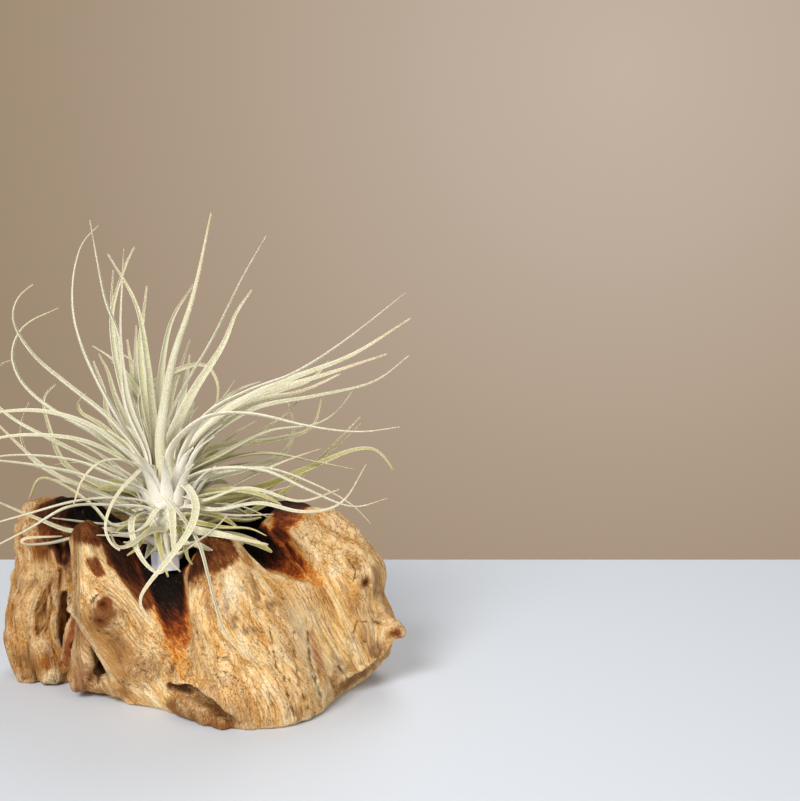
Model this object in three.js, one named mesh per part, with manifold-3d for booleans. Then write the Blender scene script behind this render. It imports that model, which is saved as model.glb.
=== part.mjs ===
// An air plant that rests in the scorched hollow of a block of gnarled root wood, with a plain tag under it.
// Millimetres. +Z is up, +X is to the right of the plant's best side and +Y is away from it.
// The origin lies on the surface that the wood stands on, under the middle of the wood.
import * as THREE from "three";
import { mergeVertices } from "three/addons/utils/BufferGeometryUtils.js";
import Module from "manifold-3d";

const wasm = await Module();
wasm.setup();

// Driving dimensions
const FIT_GAP = 0.35; // between pieces that rest on each other
const WOOD_DETAIL = 13; // the icosphere that is drawn onto the wood's form
const WOOD_SPREAD = [1, 0.72, 0.68]; // evens out the icosphere's rays over a wide, low block
const WOOD_HEART = new THREE.Vector3(2, 12, 32); // every ray onto the wood starts here
const WOOD_REACH = 190; // no part of the wood is further from its heart
const LOBE_BLEND = 11; // how softly two lobes of the wood run together
const FLUTE_DEPTH = 1.1; // of the shallow flutes that run down the wood, as roots grow
const STEM_FOOT = new THREE.Vector3(-15, -6, 73);
const STEM_TOP = new THREE.Vector3(-15.6, -6, 122);
const STEM_RADII = [5.5, 9, 11.5, 11, 9, 5]; // from the foot to the top
const CROWN = new THREE.Vector3(-15.6, -6, 120.3); // where the innermost leaves part
const CLASP = { rise: 0.2, out: 10.5 }; // where a clasping leaf lets go: part of the stem's height, and mm
const CLASP_DEPTH = -8; // leaves whose middle stands further forward than this clasp the stem
const LEAF_BASE_WIDTH = 7.5;
const LEAF_TIP_WIDTH = 0.9;
const LEAF_THICKNESS = [0.6, 0.32]; // the least, and what each millimetre of width adds
const LEAF_KEEL = 0.7; // the part of the thickness that lies below the leaf's line
const LEAF_RING = [38, 0.42]; // a leaf has a ring for every so many millimetres and radians
const LEAF_TAPER = 1.4; // the power by which a leaf narrows towards its tip
const LEAF_CLEARANCE = 1.9; // least room between the middle of a leaf and the wood
const SHEATH = 3; // this far round the stem's thickest girth a leaf may lie close to the wood
const TAG = { across: 24, tall: 10, thick: 0.8, curl: 9.7 }; // curl: the radius of its inner face
const TAG_FOOT = 73; // the height of its lower edge
const TAG_FACING = THREE.MathUtils.degToRad(242); // the way it faces, counted from +X
const TAG_TILT = THREE.MathUtils.degToRad(3);

// The wood: lobes that run together, each a cone with round ends from foot to crown
const LOBES = [
  { foot: [-10, 8, 14], crown: [-8, 12, 62], thick: [46, 30] }, // heart
  { foot: [-84, 30, 22], crown: [-78, 26, 94], thick: [28, 20] }, // left shoulder
  { foot: [-98, 16, 8], crown: [-94, 15, 92], thick: [15, 9] }, // its outer rib
  { foot: [-80, 13, 8], crown: [-78, 12, 76], thick: [14, 10] }, // its inner rib
  { foot: [-28, 5, 14], crown: [-48, -8, 54], thick: [30, 19] }, // finger's root, left of the front groove
  { foot: [-48, -9, 54], crown: [-57, -10, 87], thick: [20, 12] }, // finger
  { foot: [38, -28, 12], crown: [22, -19, 58], thick: [37, 26] }, // trunk, right of the front groove
  { foot: [20, -18, 58], crown: [18, -17, 83], thick: [26, 13] }, // its top
  { foot: [62, -2, 16], crown: [50, -1, 54], thick: [27, 24] }, // trunk's flank
  { foot: [66, 20, 28], crown: [54, 20, 74], thick: [34, 26] }, // right shoulder
  { foot: [83, 14, 22], crown: [79, 14, 60], thick: [25, 25] }, // its outer cheek
  { foot: [-52, 34, 30], crown: [52, 36, 32], thick: [31, 33] }, // back
  { foot: [-70, 48, 12], crown: [-56, 40, 72], thick: [26, 19] }, // four roots down the back
  { foot: [-26, 60, 10], crown: [-30, 44, 70], thick: [24, 19] },
  { foot: [18, 56, 12], crown: [8, 47, 72], thick: [27, 17] },
  { foot: [62, 54, 10], crown: [48, 42, 74], thick: [26, 21] },
  { foot: [46, 40, 70], crown: [42, 40, 94], thick: [20, 10] }, // its burnt peak
  { foot: [-2, -30, 6], crown: [18, -46, 1], thick: [13, 13] }, // ledge under the trunk
  { foot: [98, 4, 34], crown: [108, 0, 32], thick: [11, 6] }, // knob on the right
];
const WORN_TOP = { height: 107, from: 10, fall: 0.3 }; // the wood's top is worn to a slope down to the back

// What fire and rot took out of the wood: hollows along a line, with a radius at each point
const HOLLOWS = [
  { line: [[-12, 14, 94], [-14, 0, 90], [-21, -19, 78], [-15, -28, 62], [-8, -32, 48], [-5, -36, 38],
    [-3, -39, 29]], radii: [15, 19, 16, 14, 11.5, 8, 3] }, // front groove
  { line: [[-14, 2, 92], [8, 2, 88], [28, -3, 85], [42, -6, 81], [57, -11, 75], [71, -16, 66]],
    radii: [18, 17, 16, 14, 10.5, 3] }, // right groove
  { line: [[-14, 4, 96], [-42, 10, 100], [-64, 5, 96], [-73, -3, 87], [-73, -12, 78]],
    radii: [18, 14, 12, 9, 4] }, // left groove
  { line: [[-70, -17, 80], [-70, -19, 63], [-73, -13, 51], [-72, -8, 38], [-71, -12, 26]],
    radii: [2.5, 3, 5, 6, 4] }, // crevice beside the finger
  { line: [[-46, -36, 16], [-52, -16, 14], [-60, 0, 16]], radii: [3, 7, 6] }, // undercut below the finger
  { line: [[-13, -34, 13], [-5, -44, 13], [6, -51, 12], [20, -58, 8], [30, -66, 2]],
    radii: [2, 3, 3.5, 3.5, 3] }, // seam over the ledge
  { line: [[120, 2, 3], [100, 12, -2], [84, 24, -6]], radii: [8, 10, 7] }, // arch under the right shoulder
  { line: [[-46, 92, 4], [-48, 72, -1], [-50, 56, -6]], radii: [8, 9, 6] }, // arches at the back
  { line: [[42, 92, 6], [42, 72, 0], [40, 58, -5]], radii: [8, 9, 6] },
];
const SPLINTER = { line: [[-58, 0, 50], [-61, -7, 30], [-66.5, -11, 9]], radii: [6, 9.5, 7] };

// The leaves that show from the best side, each as its height on the stem, from 0 to 1, how far behind the
// crown half the leaf and its tip stand, and the line it follows: millimetres right of and above the crown, as
// read from EYE in the upright plane that faces it at READING_DEPTH.
const EYE = new THREE.Vector3(112.5, -721, 284.5);
const EYE_PITCH = THREE.MathUtils.degToRad(9.5);
const READING_DEPTH = 748;
const LEAVES = [
  // upright
  [0.78, 6, 18, [[-14, 12], [-39, 55], [-51, 85], [-53, 110], [-48, 132], [-38, 143]]],
  [0.62, -18, -40, [[-12, 14], [-24, 43], [-27, 80], [-35, 102], [-43, 146]]],
  [0.81, 14, 22, [[-6, 18], [-9, 44], [-11, 65], [-17, 98], [-33, 127]]],
  [0.5, -24, -58, [[-10, 14], [-21, 45], [-26, 80], [-25, 113], [-24, 130]]],
  [0.77, 16, 30, [[-12, 14], [-26, 55], [-31, 91], [-24, 118], [-18, 131]]],
  [0.75, 26, 46, [[-13, 16], [-27, 68], [-31, 95], [-30, 118]]],
  [0.81, 22, 34, [[-6, 20], [-12, 45], [-15, 73], [-13, 93], [-11, 109]]],
  [0.74, 38, 70, [[-10, 20], [-17, 55], [-17, 87]]],
  [0.72, 42, 78, [[-12, 22], [-18, 52], [-22, 79]]],
  [0.56, -22, -52, [[-4, 18], [-1, 45], [4, 70], [15, 104], [25, 150]]],
  [0.79, 24, 44, [[-5, 22], [-4, 55], [2, 88], [15, 110]]],
  [0.68, -12, -34, [[-1, 22], [8, 48], [26, 79], [42, 112], [56, 137]]],
  [0.78, 16, 30, [[2, 20], [14, 48], [31, 75], [39, 94], [48, 107]]],
  [0.66, 34, 40, [[-8, 16], [-15, 44], [-8, 54], [8, 63], [22, 65], [29, 54], [28, 42]]],
  [0.69, 30, 48, [[-3, 14], [2, 45], [8, 64], [13, 79]]],
  [0.66, 30, 48, [[-12, 12], [-27, 42], [-33, 61], [-38, 71]]],
  [0.64, 26, 42, [[-14, 10], [-32, 34], [-35, 50], [-41, 67]]],
  [0.61, 12, 10, [[-14, 8], [-36, 30], [-47, 37], [-50, 43], [-45, 49]]],
  // to the left
  [0.6, -22, -46, [[-12, 8], [-30, 32], [-54, 52], [-74, 69], [-86, 88], [-84, 102], [-75, 110]]],
  [0.69, 6, 10, [[-12, 3], [-40, 25], [-64, 39], [-81, 54], [-87, 71], [-80, 87], [-60, 97]]],
  [0.56, -14, -26, [[-14, 6], [-31, 22], [-49, 33], [-77, 39], [-118, 35]]],
  [0.44, -22, -36, [[-14, 3], [-31, 15], [-52, 23], [-84, 25], [-118, 18]]],
  [0.36, -26, -44, [[-10, -8], [-30, 2], [-52, 11], [-84, 14], [-114, 10]]],
  [0.54, -8, -12, [[-12, -8], [-33, -2], [-57, 5], [-86, 10], [-112, 12]]],
  [0.61, 10, 20, [[-12, -4], [-34, 7], [-62, 21], [-86, 34], [-100, 48], [-98, 62], [-86, 68]]],
  [0.46, -30, -42, [[-12, 4], [-24, 11], [-37, 10], [-47, 0], [-52, -14]]],
  [0.28, -34, -50, [[-10, -13], [-30, -10], [-52, -12], [-78, -19], [-110, -28]]],
  [0.28, -36, -54, [[-10, -16], [-32, -14], [-55, -15], [-78, -28], [-108, -43]]],
  [0.28, 12, -4, [[-10, -27], [-32, -29], [-53, -29], [-72, -22], [-97, -11]]],
  [0.3, 20, 4, [[-10, -25], [-34, -25], [-64, -21]]],
  [0.28, 15, -2, [[-10, -30], [-40, -33], [-64, -36], [-81, -36], [-80, -32], [-58, -31]]],
  [0.3, 30, 46, [[-12, -20], [-34, -10], [-59, 1], [-78, 15], [-102, 39]]],
  [0.33, 36, 52, [[-12, -18], [-38, -8], [-60, 1], [-78, 14], [-82, 30], [-77, 44]]],
  [0.38, 44, 62, [[-12, -14], [-40, -2], [-58, 10], [-66, 30], [-69, 46], [-62, 54]]],
  [0.28, 4, 12, [[-10, -27], [-30, -26], [-42, -14], [-58, -3], [-71, 1], [-77, -11]]],
  [0.3, 28, 44, [[-12, -20], [-34, -8], [-56, 1], [-74, 8]]],
  // over the front
  [0.4, -30, -46, [[-8, 8], [-19, 1], [-29, -11], [-34, -25], [-31, -35], [-26, -39]]],
  [0.3, -24, -36, [[0, -28], [-9, -28], [-20, -36], [-28, -37], [-32, -28]]],
  [0.38, -24, -26, [[-12, -18], [-19, -22], [-18, -34], [-12, -46], [-4, -52], [1, -48]]],
  [0.3, -26, -32, [[3, -16], [4, -30], [5, -41], [11, -39], [19, -33]]],
  [0.34, -40, -64, [[-3, -8], [8, -20], [18, -36], [24, -58], [31, -82], [41, -96], [54, -102]]],
  [0.44, -36, -40, [[8, -2], [16, -12], [14, -26], [3, -42], [-10, -58], [-15, -68], [-9, -79]]],
  [0.3, -26, -40, [[-4, -16], [-12, -26], [-22, -30], [-34, -28]]],
  // to the right
  [0.62, -16, -36, [[8, 10], [22, 36], [46, 50], [72, 60], [100, 78], [134, 105]]],
  [0.72, 6, 4, [[8, 10], [24, 30], [44, 45], [71, 57], [104, 70], [137, 91]]],
  [0.71, 18, 28, [[7, 9], [24, 33], [48, 47], [85, 58], [124, 71]]],
  [0.7, 26, 42, [[7, 8], [24, 31], [50, 44], [76, 50], [98, 60]]],
  [0.69, 34, 52, [[6, 8], [30, 36], [62, 50], [80, 56], [91, 67]]],
  [0.67, 8, 8, [[7, 6], [24, 24], [50, 40], [84, 47], [116, 55], [136, 70]]],
  [0.52, -20, -30, [[2, 12], [10, 26], [25, 36], [48, 37], [80, 30], [108, 27], [131, 30]]],
  [0.62, 16, 26, [[8, 2], [29, 13], [57, 27], [83, 31], [96, 39], [105, 51]]],
  [0.59, 28, 44, [[8, 0], [32, 13], [54, 28], [66, 36], [75, 46]]],
  [0.64, 24, 38, [[8, 3], [24, 17], [57, 22], [81, 29], [87, 46]]],
  [0.56, 38, 56, [[8, -4], [42, 6], [64, 14], [71, 28], [68, 44]]],
  [0.57, 22, 30, [[8, -3], [29, 10], [55, 15], [85, 10], [106, 6]]],
  [0.52, 30, 42, [[8, -4], [34, 7], [59, 11]]],
  [0.38, -10, -16, [[10, -1], [29, 6], [55, 5], [80, -6], [104, -15], [124, -10]]],
  [0.38, 34, 40, [[9, -14], [50, -5], [80, 7], [104, 17], [118, 17], [127, 6]]],
  [0.33, 42, 58, [[9, -18], [40, -20], [65, -10], [85, 11], [109, 36]]],
  [0.35, 50, 70, [[9, -16], [36, -12], [62, -2], [89, 13], [109, 32]]],
  [0.28, -24, -34, [[9, -9], [20, -12], [40, -5], [54, -6], [75, -12], [97, -5]]],
  [0.28, -32, -48, [[9, -15], [28, -17], [52, -13], [76, -18], [98, -13], [112, 9]]],
  [0.54, 10, 16, [[9, -5], [34, 4], [58, 6], [86, -4], [104, -14], [115, -25]]],
  [0.28, -12, -18, [[9, -23], [30, -28], [46, -27], [56, -31]]],
  [0.28, -14, -22, [[8, -27], [30, -31], [57, -36]]],
  [0.3, -4, -8, [[9, -19], [38, -20], [60, -19]]],
  [0.28, -26, -38, [[6, -31], [12, -36], [24, -30], [35, -19]]],
  [0.33, 8, 6, [[9, -15], [38, -14], [58, -21]]],
];

// The rest of the rosette follows the plant's own rule: each leaf stands a golden angle on from the last, the
// lower ones lie flatter, and every leaf arches over and curls a little to one side. Angles are degrees.
const REST = {
  count: 32,
  golden: 137.508,
  height: [0.22, 0.82], // on the stem, for the lowest and the highest leaf
  length: [84, 112],
  rise: [17, 42],
  arch: [14, 40], // from the straightest leaf to the most bent
  archFrom: 0.7, // a leaf starts this much of its arch above its rise
  archFall: 1.9, // and ends this much of it lower
  curl: 70,
  fan: [0.78, 0.22], // how much of the full turn, round the back, the lowest and the upper leaves take up
  fanFall: 1.2,
  steps: 6,
};

// A closed three.js geometry as a solid that can be joined and cut.
function solidOf(geometry) {
  const bare = geometry.index ? geometry.toNonIndexed() : geometry.clone();
  for (const name of Object.keys(bare.attributes)) {
    if (name !== "position") bare.deleteAttribute(name);
  }
  const merged = mergeVertices(bare, 1e-4);
  const triVerts = new Uint32Array(merged.index.array);
  const solid = new wasm.Manifold(
    new wasm.Mesh({ numProp: 3, vertProperties: merged.attributes.position.array, triVerts }),
  );
  if (solid.volume() < 0) throw new Error("a piece is inside out");
  return solid;
}

function meshOf(name, solid, material) {
  const { vertProperties, triVerts, numProp } = solid.getMesh();
  const position = new Float32Array((vertProperties.length / numProp) * 3);
  for (let i = 0; i < position.length / 3; i++) {
    position.set(vertProperties.subarray(i * numProp, i * numProp + 3), i * 3);
  }
  const geometry = new THREE.BufferGeometry();
  geometry.setAttribute("position", new THREE.BufferAttribute(position, 3));
  geometry.setIndex(new THREE.BufferAttribute(triVerts, 1));
  geometry.computeVertexNormals();
  const mesh = new THREE.Mesh(geometry, material);
  mesh.name = name;
  return mesh;
}

// Skins a row of rings, each a list of the same number of points, and closes both ends on a middle point.
function skin(rings) {
  const sides = rings[0].length;
  const middle = (ring) => ring.reduce((sum, p) => sum.add(p), new THREE.Vector3()).divideScalar(sides);
  const points = [...rings.flat(), middle(rings[0]), middle(rings.at(-1))];
  const faces = [];
  for (let r = 0; r + 1 < rings.length; r++) {
    for (let s = 0; s < sides; s++) {
      const a = r * sides + s;
      const b = r * sides + ((s + 1) % sides);
      faces.push(a, b, b + sides, a, b + sides, a + sides);
    }
  }
  const last = (rings.length - 1) * sides;
  for (let s = 0; s < sides; s++) {
    const next = (s + 1) % sides;
    faces.push(rings.length * sides, next, s, rings.length * sides + 1, last + s, last + next);
  }
  const geometry = new THREE.BufferGeometry().setFromPoints(points);
  geometry.setIndex(faces);
  return geometry;
}

const smoothThrough = (points) => new THREE.CatmullRomCurve3(points, false, "catmullrom", 0.5);

// Carries an upright direction along a line without twisting it. Each step has its point, its tangent, the
// upright and the direction across.
function framesAlong(points, upright) {
  const up = upright.clone();
  return points.map((point, i) => {
    const before = points[Math.max(i - 1, 0)];
    const after = points[Math.min(i + 1, points.length - 1)];
    const tangent = after.clone().sub(before).normalize();
    up.addScaledVector(tangent, -up.dot(tangent)).normalize();
    return [point, tangent, up.clone(), new THREE.Vector3().crossVectors(up, tangent)];
  });
}

// A round-ended solid along a line, with a radius at each of the line's points. Each end has two more rings:
// their radius, and how far beyond the line they stand, as parts of the radius there.
const END_RINGS = [[0.85, 0.45], [0.5, 0.8]];
function roundAlong({ line, radii }, sides = 12, steps = 4) {
  const curve = smoothThrough(line.map((p) => new THREE.Vector3(...p)));
  const count = (line.length - 1) * steps;
  const points = [];
  const thick = [];
  for (let i = 0; i <= count; i++) {
    const at = i / steps;
    const from = Math.min(Math.floor(at), radii.length - 2);
    points.push(curve.getPoint(i / count));
    thick.push(THREE.MathUtils.lerp(radii[from], radii[from + 1], at - from));
  }
  const ring = ([point, tangent, up, across], radius, ahead) =>
    Array.from({ length: sides }, (_, s) => {
      const turn = (2 * Math.PI * s) / sides;
      return point.clone().addScaledVector(tangent, ahead)
        .addScaledVector(across, radius * Math.cos(turn)).addScaledVector(up, radius * Math.sin(turn));
    });
  const frames = framesAlong(points, new THREE.Vector3(0.1, 0.2, 1));
  const endRings = (i, side) => END_RINGS.map(([size, ahead]) =>
    ring(frames[i], size * thick[i], side * ahead * thick[i]));
  const foot = endRings(0, -1).reverse();
  const body = frames.map((frame, i) => ring(frame, thick[i], 0));
  const head = endRings(count, 1);
  return solidOf(skin([...foot, ...body, ...head]));
}

// The wood's lobes as a distance field: below nought is wood.
const lobeLines = LOBES.map(({ foot, crown, thick }) => ({
  foot: new THREE.Vector3(...foot),
  axis: new THREE.Vector3(...crown).sub(new THREE.Vector3(...foot)),
  thick,
}));

function lobeDistance(p, { foot, axis, thick }) {
  const along = THREE.MathUtils.clamp(p.clone().sub(foot).dot(axis) / axis.lengthSq(), 0, 1);
  return p.distanceTo(foot.clone().addScaledVector(axis, along)) - THREE.MathUtils.lerp(...thick, along);
}

const hollowLines = HOLLOWS.flatMap(({ line, radii }) => line.slice(1).map((end, i) => ({
  foot: new THREE.Vector3(...line[i]),
  axis: new THREE.Vector3(...end).sub(new THREE.Vector3(...line[i])),
  thick: radii.slice(i, i + 2),
})));

// How far out the wood's skin stands at a point of a flute or of the ridge beside it.
function fluting(p) {
  const lean = p.x + 0.35 * p.z + 5 * Math.sin(0.05 * p.z + 0.03 * p.y);
  return FLUTE_DEPTH * Math.sin(0.37 * lean) * Math.sin(0.19 * lean + 0.06 * p.y + 1);
}

function woodDistance(p) {
  let distance = Infinity;
  for (const lobe of lobeLines) {
    const next = lobeDistance(p, lobe);
    const blend = Math.max(LOBE_BLEND - Math.abs(distance - next), 0);
    distance = Math.min(distance, next) - (blend * blend) / (4 * LOBE_BLEND);
  }
  return Math.max(distance - fluting(p), p.z - WORN_TOP.height + WORN_TOP.fall * (p.y - WORN_TOP.from));
}

// The same, with the hollows taken out.
function carvedDistance(p) {
  return Math.max(woodDistance(p), -Math.min(...hollowLines.map((hollow) => lobeDistance(p, hollow))));
}

// Moves a point that is nearer to the wood than a clearance straight away from it.
function movedClear(point, clearance) {
  const p = point.clone();
  const probe = 0.5;
  const leastMove = 0.05;
  for (let turn = 0; turn < 12; turn++) {
    const lack = clearance - carvedDistance(p);
    if (lack <= 0) break;
    const away = new THREE.Vector3();
    for (const axis of ["x", "y", "z"]) {
      const ahead = p.clone();
      const behind = p.clone();
      ahead[axis] += probe;
      behind[axis] -= probe;
      away[axis] = carvedDistance(ahead) - carvedDistance(behind);
    }
    p.addScaledVector(away.normalize(), Math.max(lack, leastMove));
  }
  return p;
}

// The rosette's short stem, as thick as the leaf bases that wrap it, or grown to its socket in the wood.
const stemAt = (height) => STEM_FOOT.clone().lerp(STEM_TOP, height);
const stemNear = (p) => new THREE.Line3(STEM_FOOT, STEM_TOP).closestPointToPoint(p, true, new THREE.Vector3());
const stem = (grow) => roundAlong({
  line: STEM_RADII.map((_, i) => stemAt(i / (STEM_RADII.length - 1)).toArray()),
  radii: STEM_RADII.map((radius) => radius + grow),
}, 10, 1);

// The point of the wood's skin that a ray from its heart comes to, reached from outside by steps as long as
// the distance to the skin allows.
function skinAlong(ray) {
  const near = 0.01;
  const stride = 0.6;
  let reach = WOOD_REACH;
  let distance = Infinity;
  while (distance > near) {
    distance = woodDistance(WOOD_HEART.clone().addScaledVector(ray, reach));
    reach -= stride * Math.max(distance, near);
  }
  return WOOD_HEART.clone().addScaledVector(ray, reach);
}

function buildWood() {
  const ball = mergeVertices(
    new THREE.IcosahedronGeometry(1, WOOD_DETAIL).deleteAttribute("normal").deleteAttribute("uv"), 1e-5);
  const position = ball.attributes.position;
  const spread = new THREE.Vector3(...WOOD_SPREAD);
  for (let i = 0; i < position.count; i++) {
    const ray = new THREE.Vector3().fromBufferAttribute(position, i).multiply(spread).normalize();
    position.setXYZ(i, ...skinAlong(ray));
  }
  let wood = solidOf(ball);
  for (const hollow of HOLLOWS) wood = wood.subtract(roundAlong(hollow));
  wood = wood.add(roundAlong(SPLINTER, 9, 3)).subtract(stem(FIT_GAP));
  const ground = solidOf(new THREE.BoxGeometry(400, 400, 100).translate(0, 0, -50));
  return wood.subtract(ground);
}

// The rosette
const eyeAxes = {
  right: new THREE.Vector3(1, 0, 0),
  up: new THREE.Vector3(0, Math.sin(EYE_PITCH), Math.cos(EYE_PITCH)),
  ahead: new THREE.Vector3(0, Math.cos(EYE_PITCH), -Math.sin(EYE_PITCH)),
};
const crownSight = CROWN.clone().sub(EYE);
const crownDepth = crownSight.dot(eyeAxes.ahead);
const crownRight = (READING_DEPTH * crownSight.dot(eyeAxes.right)) / crownDepth;
const crownUp = (READING_DEPTH * crownSight.dot(eyeAxes.up)) / crownDepth;

// A point of a leaf's line, set back along the line of sight to its own depth.
function placeOf([right, above], back) {
  const sight = eyeAxes.ahead.clone().multiplyScalar(READING_DEPTH)
    .addScaledVector(eyeAxes.right, crownRight + right).addScaledVector(eyeAxes.up, crownUp + above);
  return sight.multiplyScalar((crownDepth + back) / READING_DEPTH).add(EYE);
}

// A random number from 0 to 1, the same at every build, for one use on one leaf.
function drawn(leaf, use) {
  return THREE.MathUtils.euclideanModulo(Math.sin(leaf * 12.9898 + use * 78.233) * 43758.5453, 1);
}

// Where a leaf that grows from a height on the stem towards a point lets go of the stem.
function claspOf(height, towards) {
  const middle = stemAt(height + CLASP.rise);
  const out = towards.clone().sub(middle).setZ(0).normalize();
  return middle.addScaledVector(out, CLASP.out);
}

// The line of a leaf from the table. Its depth is nought at the crown, mid at half the leaf and tip at its
// end, and the table's points are spread evenly over the leaf, from a little past its start.
function heroLine([height, mid, tip, line]) {
  const back = (t) => t * (4 * mid - tip) + 2 * t * t * (tip - 2 * mid);
  const start = 0.6;
  const points = line.map((point, i) => placeOf(point, back((i + start) / (line.length - 1 + start))));
  const clasp = mid < CLASP_DEPTH ? [claspOf(height, points[1])] : [];
  return [stemAt(height), ...clasp, ...points];
}

// The line of a leaf that follows the rule, from its place in the spiral.
function restLine(leaf) {
  const { lerp, degToRad } = THREE.MathUtils;
  const part = leaf / (REST.count - 1);
  const spread = (use, size) => size * (drawn(leaf, use) - 0.5);
  const around = THREE.MathUtils.euclideanModulo(leaf * REST.golden + spread(2, 16), 360) - 180;
  const turn = degToRad(90 + around * Math.max(REST.fan[1], REST.fan[0] - REST.fanFall * part));
  const rise = degToRad(lerp(...REST.rise, part) + spread(3, 14));
  const arch = degToRad(lerp(...REST.arch, drawn(leaf, 4)));
  const curl = degToRad(spread(5, REST.curl));
  const length = lerp(...REST.length, Math.min(1, 1.4 * part)) * (1 + spread(6, 0.24));
  const at = stemAt(lerp(...REST.height, part) + spread(1, 0.06));
  const points = [at.clone()];
  for (let i = 0; i < REST.steps; i++) {
    const t = (i + 0.5) / REST.steps;
    const slope = rise + arch * (REST.archFrom - REST.archFall * t);
    const heading = turn + curl * t * t;
    const level = Math.cos(slope);
    const ahead = new THREE.Vector3(Math.cos(heading) * level, Math.sin(heading) * level, Math.sin(slope));
    at.addScaledVector(ahead, length / REST.steps);
    points.push(at.clone());
  }
  return points;
}

// The points of a leaf's rings, closer together where it bends and clear of the wood past the stem.
function ringPoints(line) {
  const sheath = Math.max(...STEM_RADII) + SHEATH;
  const clear = (p, clearance) => (p.distanceTo(stemNear(p)) < sheath ? p : movedClear(p, clearance));
  const curve = smoothThrough(line.map((p) => clear(p, 2 * LEAF_CLEARANCE)));
  const finePerPoint = 16;
  const fine = curve.getPoints(finePerPoint * line.length);
  const cost = [0];
  for (let i = 1; i < fine.length; i++) {
    const ahead = fine[Math.min(i + 1, fine.length - 1)].clone().sub(fine[i]);
    const behind = fine[i].clone().sub(fine[i - 1]);
    const bend = i + 1 < fine.length ? ahead.angleTo(behind) : 0;
    cost.push(cost[i - 1] + behind.length() / LEAF_RING[0] + bend / LEAF_RING[1]);
  }
  const steps = Math.ceil(cost.at(-1));
  return Array.from({ length: steps + 1 }, (_, ring) => {
    const at = cost.findIndex((c) => c >= (cost.at(-1) * ring) / steps - 1e-9);
    return clear(fine[at], LEAF_CLEARANCE);
  });
}

// One leaf: a keeled blade, flat on its upper side, that clasps the stem and tapers to a fine tip.
function buildLeaf(line) {
  const points = ringPoints(line);
  const run = [0];
  for (let i = 1; i < points.length; i++) run.push(run[i - 1] + points[i].distanceTo(points[i - 1]));
  const out = points[2].clone().sub(points[0]).setZ(0).normalize();
  const start = points[1].clone().sub(points[0]).normalize();
  const upright = new THREE.Vector3(0, 0, 1).multiplyScalar(start.dot(out)).addScaledVector(out, -start.z);
  const rings = framesAlong(points, upright).map(([point, , up, across], i) => {
    const taper = (1 - run[i] / run.at(-1)) ** LEAF_TAPER;
    const width = THREE.MathUtils.lerp(LEAF_TIP_WIDTH, LEAF_BASE_WIDTH, taper);
    const thick = LEAF_THICKNESS[0] + LEAF_THICKNESS[1] * width;
    const at = (side, rise) =>
      point.clone().addScaledVector(across, side * width).addScaledVector(up, rise * thick);
    return [at(0.5, 1 - LEAF_KEEL), at(-0.5, 1 - LEAF_KEEL), at(0, -LEAF_KEEL)];
  });
  return solidOf(skin(rings));
}

// The largest body of a solid, whole inside: loose scraps and sealed hollows go.
function mainBody(solid) {
  return solid.decompose().reduce((best, body) => (body.volume() > best.volume() ? body : best));
}

function buildRosette() {
  const lines = LEAVES.map(heroLine);
  for (let leaf = 0; leaf < REST.count; leaf++) lines.push(restLine(leaf));
  return mainBody(wasm.Manifold.union([stem(0), ...lines.map(buildLeaf)]));
}

// A paper tag curled round the stem's foot.
function buildTag() {
  const half = TAG.across / TAG.curl / 2;
  const band = new THREE.Shape();
  band.absarc(0, 0, TAG.curl + TAG.thick, -half, half, false);
  band.absarc(0, 0, TAG.curl, half, -half, true);
  return solidOf(new THREE.ExtrudeGeometry(band, { depth: TAG.tall, bevelEnabled: false, curveSegments: 9 }));
}

const woodMaterial = new THREE.MeshStandardMaterial({ color: 0xb98a4e, roughness: 0.78, metalness: 0 });
const leafMaterial = new THREE.MeshStandardMaterial({ color: 0xc6ceb2, roughness: 0.7, metalness: 0 });
const tagMaterial = new THREE.MeshStandardMaterial({ color: 0xe9e9ec, roughness: 0.6, metalness: 0 });

const tag = meshOf("plant_tag", buildTag(), tagMaterial);
tag.rotation.set(TAG_TILT, 0, TAG_FACING);
tag.position.set(STEM_FOOT.x, STEM_FOOT.y, TAG_FOOT);

const plant = new THREE.Group();
plant.name = "air_plant";
plant.add(
  meshOf("driftwood", buildWood(), woodMaterial),
  meshOf("rosette", buildRosette(), leafMaterial),
  tag,
);

export default plant;
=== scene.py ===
# %% [markdown]
# An air plant lies in the burnt hollow of a block of root wood. The wood, the leafy rosette and a small
# bare tag come as plain solids in one frame. This lesson keeps their size and place and gives each one
# its real surface. Everything is in metres, and sizes are written in millimetres times MM.

# %% The frame
import math

import bmesh
import bpy
import numpy as np
from mathutils import Euler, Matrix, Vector, noise
from mathutils.bvhtree import BVHTree


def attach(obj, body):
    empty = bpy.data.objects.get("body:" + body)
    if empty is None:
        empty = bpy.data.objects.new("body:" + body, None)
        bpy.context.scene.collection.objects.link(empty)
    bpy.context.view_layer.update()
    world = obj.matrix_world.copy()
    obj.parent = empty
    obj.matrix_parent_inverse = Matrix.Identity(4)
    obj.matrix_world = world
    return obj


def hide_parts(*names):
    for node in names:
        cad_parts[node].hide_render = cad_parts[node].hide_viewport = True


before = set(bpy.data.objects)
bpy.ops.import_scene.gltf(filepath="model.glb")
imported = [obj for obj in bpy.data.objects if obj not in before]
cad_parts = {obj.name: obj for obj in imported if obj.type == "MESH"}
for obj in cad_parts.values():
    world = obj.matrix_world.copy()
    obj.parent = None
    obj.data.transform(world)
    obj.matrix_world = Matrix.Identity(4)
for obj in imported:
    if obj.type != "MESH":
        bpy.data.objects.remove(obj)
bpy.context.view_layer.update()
MM = 0.001

# %% [markdown]
# Colours are easiest to name as the hex values that a picture shows. Those are sRGB, and a shader takes
# linear light, so one function turns them. One more function adds a node: its own settings, the values
# or links of its sockets, and the stops of its ramp. Forms, stains and leaves are listed in tables of
# text, a row for each, whose numbers one function reads.

# %% Colour and node helpers
FACTOR, FIRST, SECOND, RESULT = 0, 6, 7, 2  # a colour mix's sockets


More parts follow.
